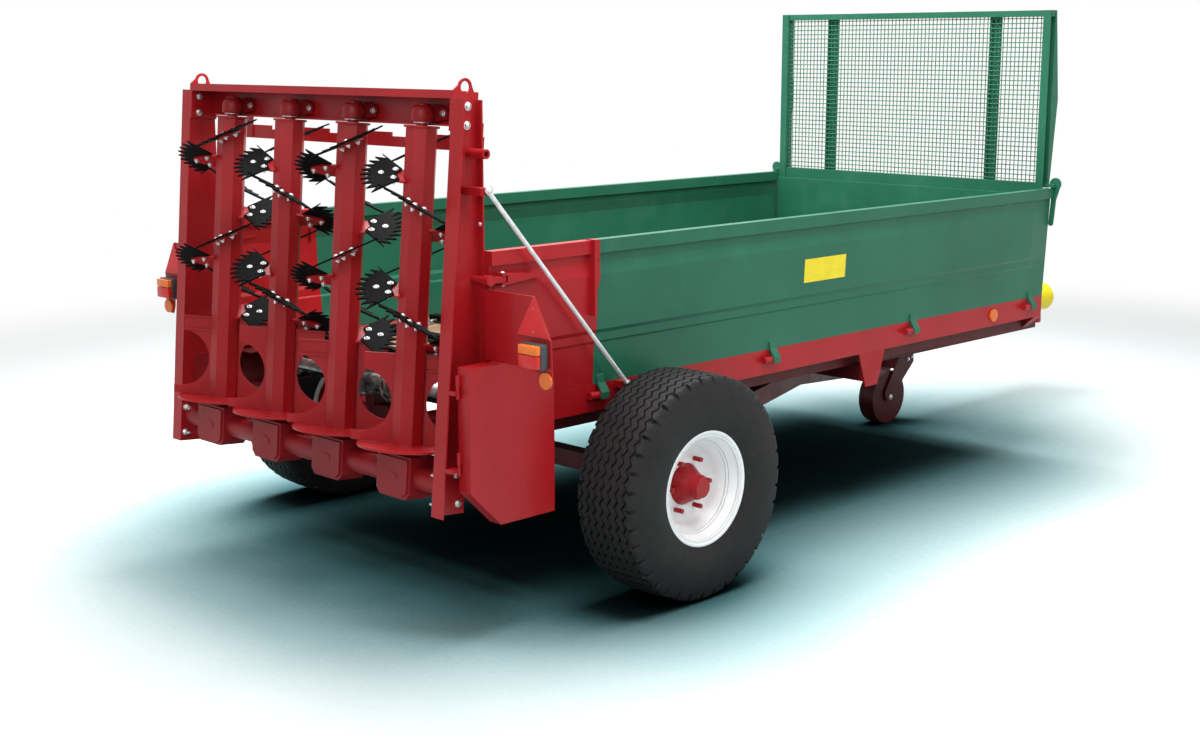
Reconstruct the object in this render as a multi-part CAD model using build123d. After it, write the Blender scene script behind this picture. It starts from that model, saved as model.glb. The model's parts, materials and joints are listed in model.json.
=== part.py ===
from build123d import *
import os
from math import sin, cos, radians, pi

# Four-beater manure spreader on a single axle. Millimetres.
# +X forward, +Y to the machine's left, +Z up, z = 0 on the ground. The model is laid out with
# x = 0 over the axle, and the last step moves it so that x = 0 is half way along.

# ---------------------------------------------------------------- wheels and axle
TYRE_RADIUS = 422.5
TYRE_WIDTH = 290.0
TREAD_WIDTH = 262.0
TYRE_WALL = 16.0
BEAD_RADIUS = 194.0            # 15.3 inch rim
FLANGE_RADIUS = 215.0
RIM_HALF_WIDTH = 125.0
RIM_SHEET = 6.0
STUD_CIRCLE = 205.0
STUD_COUNT = 6
STUD_RADIUS = 9.0
HUB_RADIUS = 78.0
HUB_CAP_RADIUS = 40.0
HUB_NECK_RADIUS = 49.0
STUB_RADIUS = 30.0
AXLE_SIDE = 70.0
RUNNING = 0.05                 # radial clearance of a turning fit

# ---------------------------------------------------------------- chassis and load box
FRAME_FRONT = 2937.0
FRAME_HALF = 833.0             # outer face of the side rails
TRACK = 2 * FRAME_HALF + 468   # between the wheel centre planes
RAIL_TOP = 796.0
BEAM_REAR = -690.0             # the main beams stop ahead of the spreading discs
RAIL_HEIGHT = 103.0
RAIL_FLANGE = 50.0
RAIL_SHEET = 5.0
BEAM_HALF = FRAME_HALF - 67    # outer face of the main beams
BEAM_WIDTH = 60.0
BEAM_BOTTOM = RAIL_TOP - 163
RAIL_LOW = RAIL_TOP - RAIL_HEIGHT
DECK_THICK = 20.0
DECK_REAR = -500.0
DECK_FRONT = FRAME_FRONT - 197
BOARD_REAR = -230.0            # where the green side boards end and the red panels start
BOARD_HEIGHT = 534.0
BOARD_FLARE = 22.0             # the boards lean out by this much at the top
BOARD_SHEET = 4.0
BULGE = 12.0                   # pressed-out middle of the boards
FADE = 150.0                   # the pressed shape runs out over this length at the front
END_STRIP = 12.0
TOP_RAIL_HEIGHT = 49.0
TOP_RAIL_OUT = 14.0
TOP_RAIL_IN = 26.0
SEAT = 0.3                     # gap between pieces that only rest against each other

# ---------------------------------------------------------------- rear unit
TILT = 5.0                     # the rear unit leans forward, degrees
UNIT_X = -900.0                # the beater axes cross the disc plane here
UNIT_Z = 639.0
BEATER_SPACING = 388.0
BEATER_COUNT = 4
TUBE_FLATS = 104.0
TOP_PLATE = 1101.0             # top plate of a beater above its disc
TOP_PLATE_RADIUS = 62.0
DISC_RADIUS = 175.0
DISC_THICK = 8.0
SHAFT_RADIUS = 20.0
BLADE_LEVELS = 8
BLADE_FIRST = 66.0             # highest blade below the top plate
BLADE_STEP = 98.5
BLADE_TIP = 203.0
BLADE_ROOT = 163.0
BLADE_INNER = 64.0
BLADE_TILT = 27.0
BLADE_THICK = 6.0
BRACKET_THICK = 8.0
BLADE_TEETH = 9
BLADE_SPAN = 44.0              # half of the toothed arc, degrees
BLADE_HEEL = 38.0              # half width beside the tube
PADDLE_HEIGHT = 320.0
PADDLE_LEDGE = 262.0           # where the full width below the paddle's top ends
PADDLE_WING = 162.0
PADDLE_WAIST = 62.0            # narrowest reach of the paddle, half way up
PADDLE_FOLD = 14.0
PADDLE_THICK = 6.0
POST_WEB = FRAME_HALF - 35     # inner face of the post's web
POST_OUT = FRAME_HALF + 25
POST_REAR = -56.0
POST_FACE = -746.0             # the posts' front faces stand plumb at this x
POST_LIP = 34.0                # width of the front flange
FOOT_FRONT = 84.0              # front edge of the post's foot, below the rails
EAR_FRONT = 49.0
EYE_OFFSET = -4.5              # the lifting eye ahead of the beater axes
POST_BOTTOM = -209.0
POST_TOP = 1204.0
POST_SHEET = 6.0
EYE_RADIUS = 30.0
EAR_HALF = 28.0                # half the ear's width beside the eye
EAR_RISE = 8.0                 # how far above the eye's centre the straight edges run
EYE_BORE = 20.0
EYE_HEIGHT = 1242.0
BEAM_TOP = 1229.0
BEAM_LOW = 1112.0
BEAM_LIP = 28.0
BEAM_WEB = 54.0                # rear face of the top beam's web
BEAM_SHEET = 6.0
PIPE_OFFSET = 25.0             # the short pipe that stands out from each post
PIPE_HEIGHT = 1026.0
PIPE_LENGTH = 95.0
PIPE_RADIUS = 16.5
PIPE_BORE = 10.0
END_PLATE = 8.0                # the top beam's end plates, bolted to the posts
END_PLATE_LOW = 1095.0
CROSSBAR = 215.0               # the notched bar's face ahead of the beater axes
CROSSBAR_LOW = 1031.0
CROSSBAR_TOP = 1084.0
CROSSBAR_END = -656.0          # right-hand end of the bar
HANGER_WIDTH = 40.0            # brackets that hang the bar from the top beam
HANGER_SHEET = 6.0
HANGER_LOW = 1125.0            # clear above the turning blades
HANGER_TOP = 1200.0
NOTCH_WIDTH = 100.0
NOTCH_DEPTH = 15.0
CASE_TOP = -29.0
CASE_LOW = -180.0
CASE_WIDTH = 185.0
CASE_DEPTH = 110.0
CASE_TUBE = 41.5
CASE_CORNER = 22.0
CASE_COVER = 7.0

# ---------------------------------------------------------------- front end
GATE_TOP = 2187.0
GATE_INNER = FRAME_HALF - 49
GATE_POST_WIDTH = 40.0
GATE_POST_DEPTH = 52.0
GATE_X = FRAME_FRONT - 32      # rear face of the gate's posts
GATE_STILE_Y = 500.0           # the two inner uprights
GATE_STILE = 57.0
STILE_WEB = 20.0               # the uprights' sides start here, ahead of the top bar's rear face
STILE_FACE = 38.0
STILE_BACK = 43.0
GATE_BAR = 30.0
GATE_FIN = 55.0                # how far the side fins stand ahead of the posts, at mid height
FRONT_BOARD_TOP = 1300.0
LATCH_X = FRAME_FRONT + 3
LATCH_SHEET = 8.0
FRONT_BOARD_THICK = 40.0
TONGUE_BOTTOM = 390.0
TONGUE_HEIGHT = 80.0
TONGUE_WIDTH = 100.0
TONGUE_TIP = 4250.0
TOW_EYE_X = 4300.0
TOW_EYE_BORE = 20.0
TOW_EYE_RADIUS = 48.0
JOCKEY_X = FRAME_FRONT + 7     # the stand's wheel, left of the tongue
JOCKEY_RADIUS = 145.0
JOCKEY_WIDTH = 92.0
PIVOT_X = JOCKEY_X + 156
PIVOT_Z = 336.0
PIVOT_RADIUS = 8.0
FORK_PLATE = 7.0
FORK_GAP = 5.2                 # the fork clears the tongue and its wheel by this much
AXLE_PIN = 10.0
PTO_Z = 555.0
DRIVE_TUBE = 27.0
TEE_HALF = 50.0                # half the depth of the gearbox that the drive tube enters
TEE_WIDTH = 90.0
TEE_TOP = 70.0                 # how far the flange for the drive tube stands above the cross tube
PTO_FRONT = 4390.0
PTO_REAR = FRAME_FRONT + 23
PTO_SHAFT = 25.0
PTO_TUBE = 38.0
BELL_RADIUS = 81.0
BELL_LENGTH = 110.0

STAY_REAR = -800.0             # upper end of the round stays
STAY_TOP = 1543.0
STAY_FRONT = -100.0
STAY_RADIUS = 8.0
LAMP_Y = FRAME_HALF + 295
LAMP_PLATE_X = -770.0

GUARD_IN = FRAME_HALF + 40
GUARD_OUT = FRAME_HALF + 100
GUARD_PIN_X = -919.0
GUARD_PIN_Y = GUARD_IN + 12
HINGE_HEIGHTS = (585.0, 850.0)
HINGE_LENGTH = 80.0
HINGE_PIN = 5.0
KNUCKLE = 7.5

parts = {}


# ---------------------------------------------------------------- helpers
def box(x0, x1, y0, y1, z0, z1):
    """A block between two corners."""
    size = (abs(x1 - x0), abs(y1 - y0), abs(z1 - z0))
    return Pos((x0 + x1) / 2, (y0 + y1) / 2, (z0 + z1) / 2) * Box(*size)


def rod(start, end, radius):
    """A round bar from one point to another."""
    line = Vector(*end) - Vector(*start)
    plane = Plane(origin=start, z_dir=line)
    return plane * Pos(0, 0, line.length / 2) * Cylinder(radius, line.length)


def slab(plane, points, thick, both=False):
    """A flat outline given by its corners on a plane, made solid."""
    face = make_face(plane * Polyline(*points, close=True))
    return extrude(face, amount=thick, dir=plane.z_dir, both=both)


def side_slab(points, y0, y1):
    """An outline in x and z, solid between two values of y."""
    plane = Plane(origin=(0, y1, 0), x_dir=(1, 0, 0), z_dir=(0, -1, 0))
    return slab(plane, points, y1 - y0)


def cross_slab(points, x0, x1):
    """An outline in y and z, solid between two values of x."""
    plane = Plane(origin=(x0, 0, 0), x_dir=(0, 1, 0), z_dir=(1, 0, 0))
    return slab(plane, points, x1 - x0)


def flat_slab(points, z0, z1):
    """An outline in x and y, solid between two values of z."""
    return slab(Plane(origin=(0, 0, z0)), points, z1 - z0)


def mirrored(shape):
    """The same piece on the other side of the machine."""
    return shape.mirror(Plane.XZ)


def both_sides(name, left):
    """A left-hand piece and its mirror image, each in a node of its own."""
    parts[name + "_left"] = left
    parts[name + "_right"] = mirrored(left)


UNIT = Location((UNIT_X, 0, UNIT_Z), (0, TILT, 0))


def unit_face(offset, z):
    """The x of the rear unit's upright plane `offset` ahead of the beater axes, at height z."""
    return UNIT_X + (offset + (z - UNIT_Z) * sin(radians(TILT))) / cos(radians(TILT))


def unit_point(offset, s):
    """World x and z of the rear unit's point `offset` ahead of the beater axes and `s` up them."""
    tilt = radians(TILT)
    return (UNIT_X + offset * cos(tilt) + s * sin(tilt), UNIT_Z - offset * sin(tilt) + s * cos(tilt))


# ---------------------------------------------------------------- wheels
def spin_y(points, y):
    """A ring from a (y, radius) outline around the wheel axis at the given side position."""
    plane = Plane(origin=(0, y, TYRE_RADIUS), x_dir=(0, 1, 0), z_dir=(1, 0, 0))
    face = make_face(plane * Polyline(*points, close=True))
    return revolve(face, axis=Axis((0, 0, TYRE_RADIUS), (0, 1, 0)))


def make_tyre(y):
    plane = Plane(origin=(0, y, TYRE_RADIUS), x_dir=(0, 1, 0), z_dir=(1, 0, 0))
    bead = RIM_HALF_WIDTH - RIM_SHEET - SEAT
    half = TYRE_WIDTH / 2
    low = BEAD_RADIUS + SEAT
    mid = (low + TYRE_RADIUS) / 2
    shoulder = TYRE_RADIUS - 20
    edge = TREAD_WIDTH / 2
    crown = 6
    inner = TYRE_RADIUS - 34
    outline = [
        Line((-bead, low), (-bead, low + 22)),
        ThreePointArc((-bead, low + 22), (-half, mid), (-edge, shoulder)),
        ThreePointArc((-edge, shoulder), (-edge + 4, TYRE_RADIUS - crown - 4),
                      (-edge + 14, TYRE_RADIUS - crown)),
        ThreePointArc((-edge + 14, TYRE_RADIUS - crown), (0, TYRE_RADIUS), (edge - 14, TYRE_RADIUS - crown)),
        ThreePointArc((edge - 14, TYRE_RADIUS - crown), (edge - 4, TYRE_RADIUS - crown - 4),
                      (edge, shoulder)),
        ThreePointArc((edge, shoulder), (half, mid), (bead, low + 22)),
        Line((bead, low + 22), (bead, low)),
        Line((bead, low), (bead - 24, low)),
        Line((bead - 24, low), (bead - 24, low + 22)),
        ThreePointArc((bead - 24, low + 22), (half - TYRE_WALL, mid), (edge - 26, inner)),
        Line((edge - 26, inner), (-edge + 26, inner)),
        ThreePointArc((-edge + 26, inner), (-half + TYRE_WALL, mid), (-bead + 24, low + 22)),
        Line((-bead + 24, low + 22), (-bead + 24, low)),
        Line((-bead + 24, low), (-bead, low)),
    ]
    face = make_face(plane * Wire(outline))
    return revolve(face, axis=Axis((0, 0, TYRE_RADIUS), (0, 1, 0)))


DISC_OUT = 16.0                # outer face of the wheel disc beyond the wheel's centre plane
HUB_FLANGE = 14.0
STUD_LENGTH = 38.0


def make_rim(y):
    w = RIM_HALF_WIDTH
    t = RIM_SHEET
    well = BEAD_RADIUS - 24
    seat = BEAD_RADIUS
    outline = [
        (-w, FLANGE_RADIUS), (-w + t, FLANGE_RADIUS), (-w + t, seat), (-w + 34, seat - 2),
        (-w + 50, well), (w - 74, well), (w - 56, seat - 2), (w - t, seat), (w - t, FLANGE_RADIUS),
        (w, FLANGE_RADIUS), (w, seat - t), (w - 54, seat - t - 2), (w - 72, well - t),
        (-w + 48, well - t), (-w + 32, seat - t - 2), (-w, seat - t),
    ]
    ring = spin_y(outline, y)
    nave = [
        (DISC_OUT - 10, HUB_RADIUS + 1), (DISC_OUT, HUB_RADIUS + 1), (DISC_OUT, 128),
        (DISC_OUT + 16, 146), (DISC_OUT + 16, well - t + 1), (DISC_OUT + 4, well - t + 1),
        (DISC_OUT + 4, 150), (DISC_OUT - 10, 132),
    ]
    wheel = ring + spin_y(nave, y)
    for k in range(STUD_COUNT):
        a = 2 * pi * (k + 0.5) / STUD_COUNT
        x = STUD_CIRCLE / 2 * sin(a)
        z = TYRE_RADIUS + STUD_CIRCLE / 2 * cos(a)
        wheel -= rod((x, y, z), (x, y + DISC_OUT + 20, z), STUD_RADIUS + 1)
    return wheel


HUB_IN = 70.0                  # inner end of the hub inboard of the wheel's centre plane
HUB_NOSE = 88.0                # outer end of the hub's body
CAP_NOSE = 108.0


def make_hub(y):
    flange_face = DISC_OUT - 10
    outline = [
        (-HUB_IN, STUB_RADIUS + RUNNING), (-HUB_IN, HUB_RADIUS), (flange_face - HUB_FLANGE, HUB_RADIUS),
        (flange_face - HUB_FLANGE, STUD_CIRCLE / 2 + 22), (flange_face, STUD_CIRCLE / 2 + 22),
        (flange_face, HUB_RADIUS), (flange_face + 16, HUB_RADIUS - 2), (flange_face + 34, HUB_RADIUS - 12),
        (HUB_NOSE - 16, HUB_NECK_RADIUS), (HUB_NOSE, HUB_NECK_RADIUS - 2), (HUB_NOSE, HUB_CAP_RADIUS),
        (CAP_NOSE, HUB_CAP_RADIUS - 3), (CAP_NOSE, 0),
        (HUB_NOSE - 8, 0), (HUB_NOSE - 8, STUB_RADIUS + RUNNING),
    ]
    hub = spin_y(outline, y)
    for k in range(STUD_COUNT):
        a = 2 * pi * (k + 0.5) / STUD_COUNT
        x = STUD_CIRCLE / 2 * sin(a)
        z = TYRE_RADIUS + STUD_CIRCLE / 2 * cos(a)
        hub += rod((x, y + flange_face - 4, z), (x, y + DISC_OUT + STUD_LENGTH, z), STUD_RADIUS)
    return hub


def make_wheels():
    y = TRACK / 2
    both_sides("tyre", make_tyre(y))
    both_sides("rim", make_rim(y))
    both_sides("hub", make_hub(y))


def make_axle():
    half = AXLE_SIDE / 2
    end = TRACK / 2 - HUB_IN - 6
    beam = box(-half, half, -end, end, TYRE_RADIUS - half, TYRE_RADIUS + half)
    stub_end = TRACK / 2 + HUB_NOSE - 8 - 2
    beam += rod((0, -stub_end, TYRE_RADIUS), (0, stub_end, TYRE_RADIUS), STUB_RADIUS)
    for side in (-1, 1):
        y0 = side * (BEAM_HALF - BEAM_WIDTH)
        y1 = side * BEAM_HALF
        beam += box(-60, 60, y0, y1, TYRE_RADIUS + half - 1, BEAM_BOTTOM)
    parts["axle_beam"] = beam


# ---------------------------------------------------------------- chassis
def make_chassis():
    z0 = RAIL_LOW
    rail = box(POST_FACE, FRAME_FRONT, FRAME_HALF - RAIL_FLANGE, FRAME_HALF, z0, RAIL_TOP)
    inner = FRAME_HALF - RAIL_SHEET
    flange = FRAME_HALF - RAIL_FLANGE - 10
    rail -= box(POST_FACE - 1, FRAME_FRONT + 10, flange, inner, z0 + RAIL_SHEET, RAIL_TOP - RAIL_SHEET)
    rail -= box(POST_FACE - 1, BEAM_REAR + 165, POST_WEB - 30, POST_WEB, z0 - 1, z0 + RAIL_SHEET + 1)
    both_sides("side_rail", rail)

    beam_in = BEAM_HALF - BEAM_WIDTH
    deck_low = RAIL_TOP - DECK_THICK
    beam = box(BEAM_REAR, FRAME_FRONT - 60, beam_in, BEAM_HALF, BEAM_BOTTOM, deck_low)
    beam -= box(BEAM_REAR - 1, FRAME_FRONT, beam_in - 1, BEAM_HALF - 6, BEAM_BOTTOM + 6, deck_low - 6)
    low = BEAM_BOTTOM - 23
    outline = [(-1000, low), (BEAM_REAR + 60, low), (BEAM_REAR + 160, deck_low), (-1000, RAIL_TOP - 10)]
    gusset = side_slab(outline, POST_WEB - 7, POST_WEB - SEAT)
    gusset -= UNIT * box(-2000, POST_REAR + 50, -2000, 2000, -2000, 3000)
    foot = box(BEAM_REAR, BEAM_REAR + 120, BEAM_HALF - 6, POST_WEB - 6, BEAM_BOTTOM, BEAM_BOTTOM + 12)
    beam += gusset + foot
    beam += box(BEAM_REAR, BEAM_REAR + 120, BEAM_HALF - 6, POST_WEB - 6, deck_low - 12, deck_low)
    both_sides("main_beam", beam)


def make_cross_members():
    """Channels between the main beams, and outriggers out to the side rails."""
    deck_low = RAIL_TOP - DECK_THICK
    beam_in = BEAM_HALF - 6
    pieces = []
    for x in (-330, 300, 900, 1500, 2100, 2690):
        half = BEAM_HALF - BEAM_WIDTH
        member = box(x, x + 50, -half + SEAT, half - SEAT, deck_low - 50, deck_low)
        member += box(x, x + 50, -beam_in + SEAT, beam_in - SEAT, deck_low - 50, deck_low - 6)
        pieces.append(member)
        for side in (-1, 1):
            out = side * (FRAME_HALF - RAIL_SHEET)
            pieces.append(box(x, x + 50, side * BEAM_HALF, out, deck_low - 70, deck_low))
    rear = FRAME_FRONT - 60
    inner = FRAME_HALF - RAIL_SHEET
    front = box(rear, FRAME_FRONT, -inner, inner, RAIL_LOW + RAIL_SHEET, RAIL_TOP - RAIL_SHEET)
    low = [(-FRAME_HALF, RAIL_LOW), (FRAME_HALF, RAIL_LOW), (BEAM_HALF, BEAM_BOTTOM),
           (-BEAM_HALF, BEAM_BOTTOM)]
    front += cross_slab(low, rear, FRAME_FRONT)
    half = FRAME_HALF - RAIL_FLANGE - SEAT
    front += box(rear, FRAME_FRONT, -half, half, RAIL_LOW - 3, RAIL_LOW + RAIL_SHEET + 1)
    pieces.append(front)
    parts["cross_members"] = Compound(children=pieces)


# ---------------------------------------------------------------- scraper floor
CHAIN_WIDTH = 30.0
CHAIN_THICK = 12.0
SPROCKET_RADIUS = 56.0
SPROCKET_REAR = -560.0
SPROCKET_FRONT = FRAME_FRONT - 137
SLAT_PITCH = 336.0
SLAT_HEIGHT = 22.0
CHAIN_SIDES = (-640, -90, 90, 640)


def make_floor():
    deck_low = RAIL_TOP - DECK_THICK
    half = FRAME_HALF - RAIL_FLANGE - SEAT
    parts["floor_deck"] = box(DECK_REAR, DECK_FRONT, -half, half, deck_low, RAIL_TOP)
    outer = SPROCKET_RADIUS + CHAIN_THICK
    z = RAIL_TOP + SEAT - SPROCKET_RADIUS
    pieces = []
    for y in CHAIN_SIDES:
        half = CHAIN_WIDTH / 2
        loop = box(SPROCKET_REAR, SPROCKET_FRONT, y - half, y + half, z - outer, z + outer)
        inner = (z - SPROCKET_RADIUS, z + SPROCKET_RADIUS)
        hollow = box(SPROCKET_REAR, SPROCKET_FRONT, y - CHAIN_WIDTH, y + CHAIN_WIDTH, *inner)
        for x in (SPROCKET_REAR, SPROCKET_FRONT):
            loop += rod((x, y - CHAIN_WIDTH / 2, z), (x, y + CHAIN_WIDTH / 2, z), outer)
            hollow += rod((x, y - CHAIN_WIDTH, z), (x, y + CHAIN_WIDTH, z), SPROCKET_RADIUS)
        pieces.append(loop - hollow)
    parts["scraper_chains"] = Compound(children=pieces)

    count = int((SPROCKET_FRONT - SPROCKET_REAR) // SLAT_PITCH)
    slats = []
    for k in range(count):
        x = SPROCKET_REAR + 140 + k * SLAT_PITCH
        for low, high in ((z + outer, z + outer + SLAT_HEIGHT), (z - outer - SLAT_HEIGHT, z - outer)):
            for side in (-1, 1):
                slats.append(box(x, x + 45, side * 60, side * 690, low, high))
    parts["scraper_slats"] = Compound(children=slats)

    shafts = []
    for x in (SPROCKET_REAR, SPROCKET_FRONT):
        end = BEAM_HALF - 6 - SEAT
        shaft = rod((x, -end, z), (x, end, z), 22)
        for y in CHAIN_SIDES:
            shaft += rod((x, y - 9, z), (x, y + 9, z), SPROCKET_RADIUS - SEAT)
        shafts.append(shaft)
    parts["scraper_shafts"] = Compound(children=shafts)


# ---------------------------------------------------------------- load box
HINGE_XS = (-215, 785, 1785, FRAME_FRONT - 142)
HOOK_WIDTH = 40.0
BOSS_RADIUS = 14.0
BOSS_LENGTH = 46.0
HINGE_BOLT = 7.0
HINGE_DROP = 40.0              # the hinge bolts lie this far below the rail's top
STRIP_IN = POST_WEB + 17         # the panel's folded end reaches in to here behind the post's flange
PILLAR_TOP = 1333.0
PILLAR_NECK = 1203.0           # below this the corner pillar is narrower
PILLAR_FOOT = 1058.0
PILLAR_REAR = 40.0             # the pillar's rear face behind the end of the side board
PILLAR_DEPTH = 26.0
PILLAR_IN = FRAME_HALF + 5
PILLAR_OUT = FRAME_HALF + 52
PILLAR_STEP = 20.0
PILLAR_SHEET = 5.0
CLAMP_Z = 1235.0               # toggle clamps between the rear posts and the rear panels
CLAMP_Y = FRAME_HALF + 47
CLAMP_BOLT_X = -710.0
CLAMP_TIP_X = -539.0
CLAMP_LOBE_X = -774.0
CLAMP_LOBE = 18.0
CLAMP_HALF = 21.0              # half the clevis's height
CLAMP_SLOT = 12.0
CLAMP_BOLT = 5.0


def wall_line(z):
    """How far out the board's plain face stands at height z."""
    return FRAME_HALF + BOARD_FLARE * (z - RAIL_TOP) / BOARD_HEIGHT


# Pressed shape of a board: height above the rail, and how far the face stands out from the plain face.
BOARD_PROFILE = [
    (0, 0), (152, 0), (160, 5), (190, 5), (204, BULGE), (406, BULGE), (452, 0), (485, 0),
]


def board_section(shape=1.0):
    """The board's outline across the machine, with its pressed shape at full or at less height."""
    outer = [(wall_line(RAIL_TOP + h) + out * shape, RAIL_TOP + h) for h, out in BOARD_PROFILE]
    inner = [(y - BOARD_SHEET, z) for y, z in outer]
    top = RAIL_TOP + BOARD_HEIGHT
    rail_low = top - TOP_RAIL_HEIGHT
    y = wall_line(top)
    y0, y1 = y - TOP_RAIL_IN, y + TOP_RAIL_OUT
    rail = [(y1, rail_low), (y1, top), (y0, top), (y0, rail_low)]
    return outer + rail + inner[::-1]


def make_boards():
    plain = FRAME_FRONT - END_STRIP
    board = cross_slab(board_section(), BOARD_REAR, plain - FADE)
    ends = []
    for x, shape in ((plain - FADE, 1.0), (plain, 0.0)):
        plane = Plane(origin=(x, 0, 0), x_dir=(0, 1, 0), z_dir=(1, 0, 0))
        ends.append(make_face(plane * Polyline(*board_section(shape), close=True)))
    board += loft(ends, ruled=True)
    board += cross_slab(board_section(0.0), plain, FRAME_FRONT)
    strap = [(-2, 36), (7, 30), (10, 4), (33, -30), (33, -54), (26, -54), (26, -34), (4, -1), (4, 1), (-2, 1)]
    for x in HINGE_XS:
        hook = [(FRAME_HALF + out, RAIL_TOP + up) for out, up in strap]
        board += cross_slab(hook, x, x + HOOK_WIDTH)
    both_sides("side_board", board)

    bosses = []
    y = FRAME_HALF + BOSS_RADIUS
    z = RAIL_TOP - HINGE_DROP
    for x in HINGE_XS:
        boss = rod((x - BOSS_LENGTH, y, z), (x - SEAT, y, z), BOSS_RADIUS)
        bosses.append(boss + rod((x - 1, y, z), (x + HOOK_WIDTH + 12, y, z), HINGE_BOLT))
    parts["hinge_bosses"] = Compound(children=bosses + [mirrored(b) for b in bosses])

    rail_top = RAIL_TOP + BOARD_HEIGHT
    panel = cross_slab(board_section(), POST_FACE, BOARD_REAR - SEAT)
    rear = BOARD_REAR - PILLAR_REAR
    front = rear + PILLAR_DEPTH
    profile = [(PILLAR_IN + PILLAR_STEP, PILLAR_FOOT), (PILLAR_OUT, PILLAR_FOOT), (PILLAR_OUT, PILLAR_TOP),
               (PILLAR_IN, PILLAR_TOP), (PILLAR_IN, PILLAR_NECK), (PILLAR_IN + PILLAR_STEP, PILLAR_NECK - 24)]
    pillar = cross_slab(profile, rear, front)
    inner = PILLAR_OUT - PILLAR_SHEET
    pillar -= box(rear + PILLAR_SHEET, front + 1, PILLAR_IN - 1, inner, PILLAR_FOOT - 1, PILLAR_TOP + 1)
    low = PILLAR_FOOT - 1
    lower = [(front - 15, low), (front + 1, low), (front + 1, PILLAR_NECK - 15),
             (front - 15, PILLAR_NECK - 58)]
    pillar -= side_slab(lower, PILLAR_IN, PILLAR_OUT + 1)
    y = PILLAR_IN + 17
    z = PILLAR_TOP - 31
    pillar -= rod((rear - 1, y, z), (rear + 10, y, z), 11)
    pillar -= box(rear + 9, front - 6, PILLAR_OUT - 10, PILLAR_OUT + 1, PILLAR_TOP - 78, PILLAR_TOP - 68)
    end = CLAMP_BOLT_X - 12
    tongue = [(end, CLAMP_Z - CLAMP_HALF), (end, CLAMP_Z + CLAMP_HALF), (CLAMP_TIP_X, CLAMP_Z + 4),
              (CLAMP_TIP_X, CLAMP_Z - 4)]
    clevis = side_slab(tongue, wall_line(CLAMP_Z) - BOARD_SHEET, CLAMP_Y + 15)
    z0, z1 = CLAMP_Z - CLAMP_SLOT, CLAMP_Z + CLAMP_SLOT
    clevis -= box(end - 1, CLAMP_BOLT_X + 13, CLAMP_Y - 13, CLAMP_Y + 16, z0, z1)
    below = (CLAMP_BOLT_X, CLAMP_Y, CLAMP_Z - 40)
    clevis -= rod(below, (CLAMP_BOLT_X, CLAMP_Y, CLAMP_Z + 40), CLAMP_BOLT + SEAT)
    panel += clevis + pillar
    strip = [(STRIP_IN, RAIL_TOP + 1), (wall_line(RAIL_TOP) - 1, RAIL_TOP + 1),
             (wall_line(rail_top) - 1, rail_top - 1), (STRIP_IN, rail_top - 1)]
    panel += cross_slab(strip, POST_FACE, POST_FACE + BOARD_SHEET)
    both_sides("rear_panel", panel)

    clamp = rod((CLAMP_LOBE_X, CLAMP_Y - 15, CLAMP_Z), (CLAMP_LOBE_X, CLAMP_Y + 15, CLAMP_Z), CLAMP_LOBE)
    clamp += rod((CLAMP_LOBE_X, POST_WEB + POST_SHEET + SEAT, CLAMP_Z), (CLAMP_LOBE_X, CLAMP_Y, CLAMP_Z), 12)
    neck = CLAMP_SLOT - 1
    clamp += box(CLAMP_LOBE_X, CLAMP_BOLT_X + 8, CLAMP_Y - 11, CLAMP_Y + 11, CLAMP_Z - neck, CLAMP_Z + neck)
    reach = CLAMP_HALF + 6
    below = (CLAMP_BOLT_X, CLAMP_Y, CLAMP_Z - reach)
    clamp += rod(below, (CLAMP_BOLT_X, CLAMP_Y, CLAMP_Z + reach), CLAMP_BOLT)
    parts["post_clamps"] = Compound(children=[clamp, mirrored(clamp)])

    low = RAIL_TOP + SEAT
    half = FRAME_HALF - BOARD_SHEET - 4
    x1 = FRAME_FRONT - 8
    x0 = x1 - FRONT_BOARD_THICK
    front = box(x0, x0 + 6, -half, half, low, FRONT_BOARD_TOP)
    for z in (low, 950, 1120, FRONT_BOARD_TOP - 40):
        front += box(x0 + 5, x1, -half, half, z, z + 40)
    for y in (-half, -10, half - 20):
        front += box(x0 + 5, x1, y, y + 20, low, FRONT_BOARD_TOP)
    parts["front_board"] = front


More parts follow.
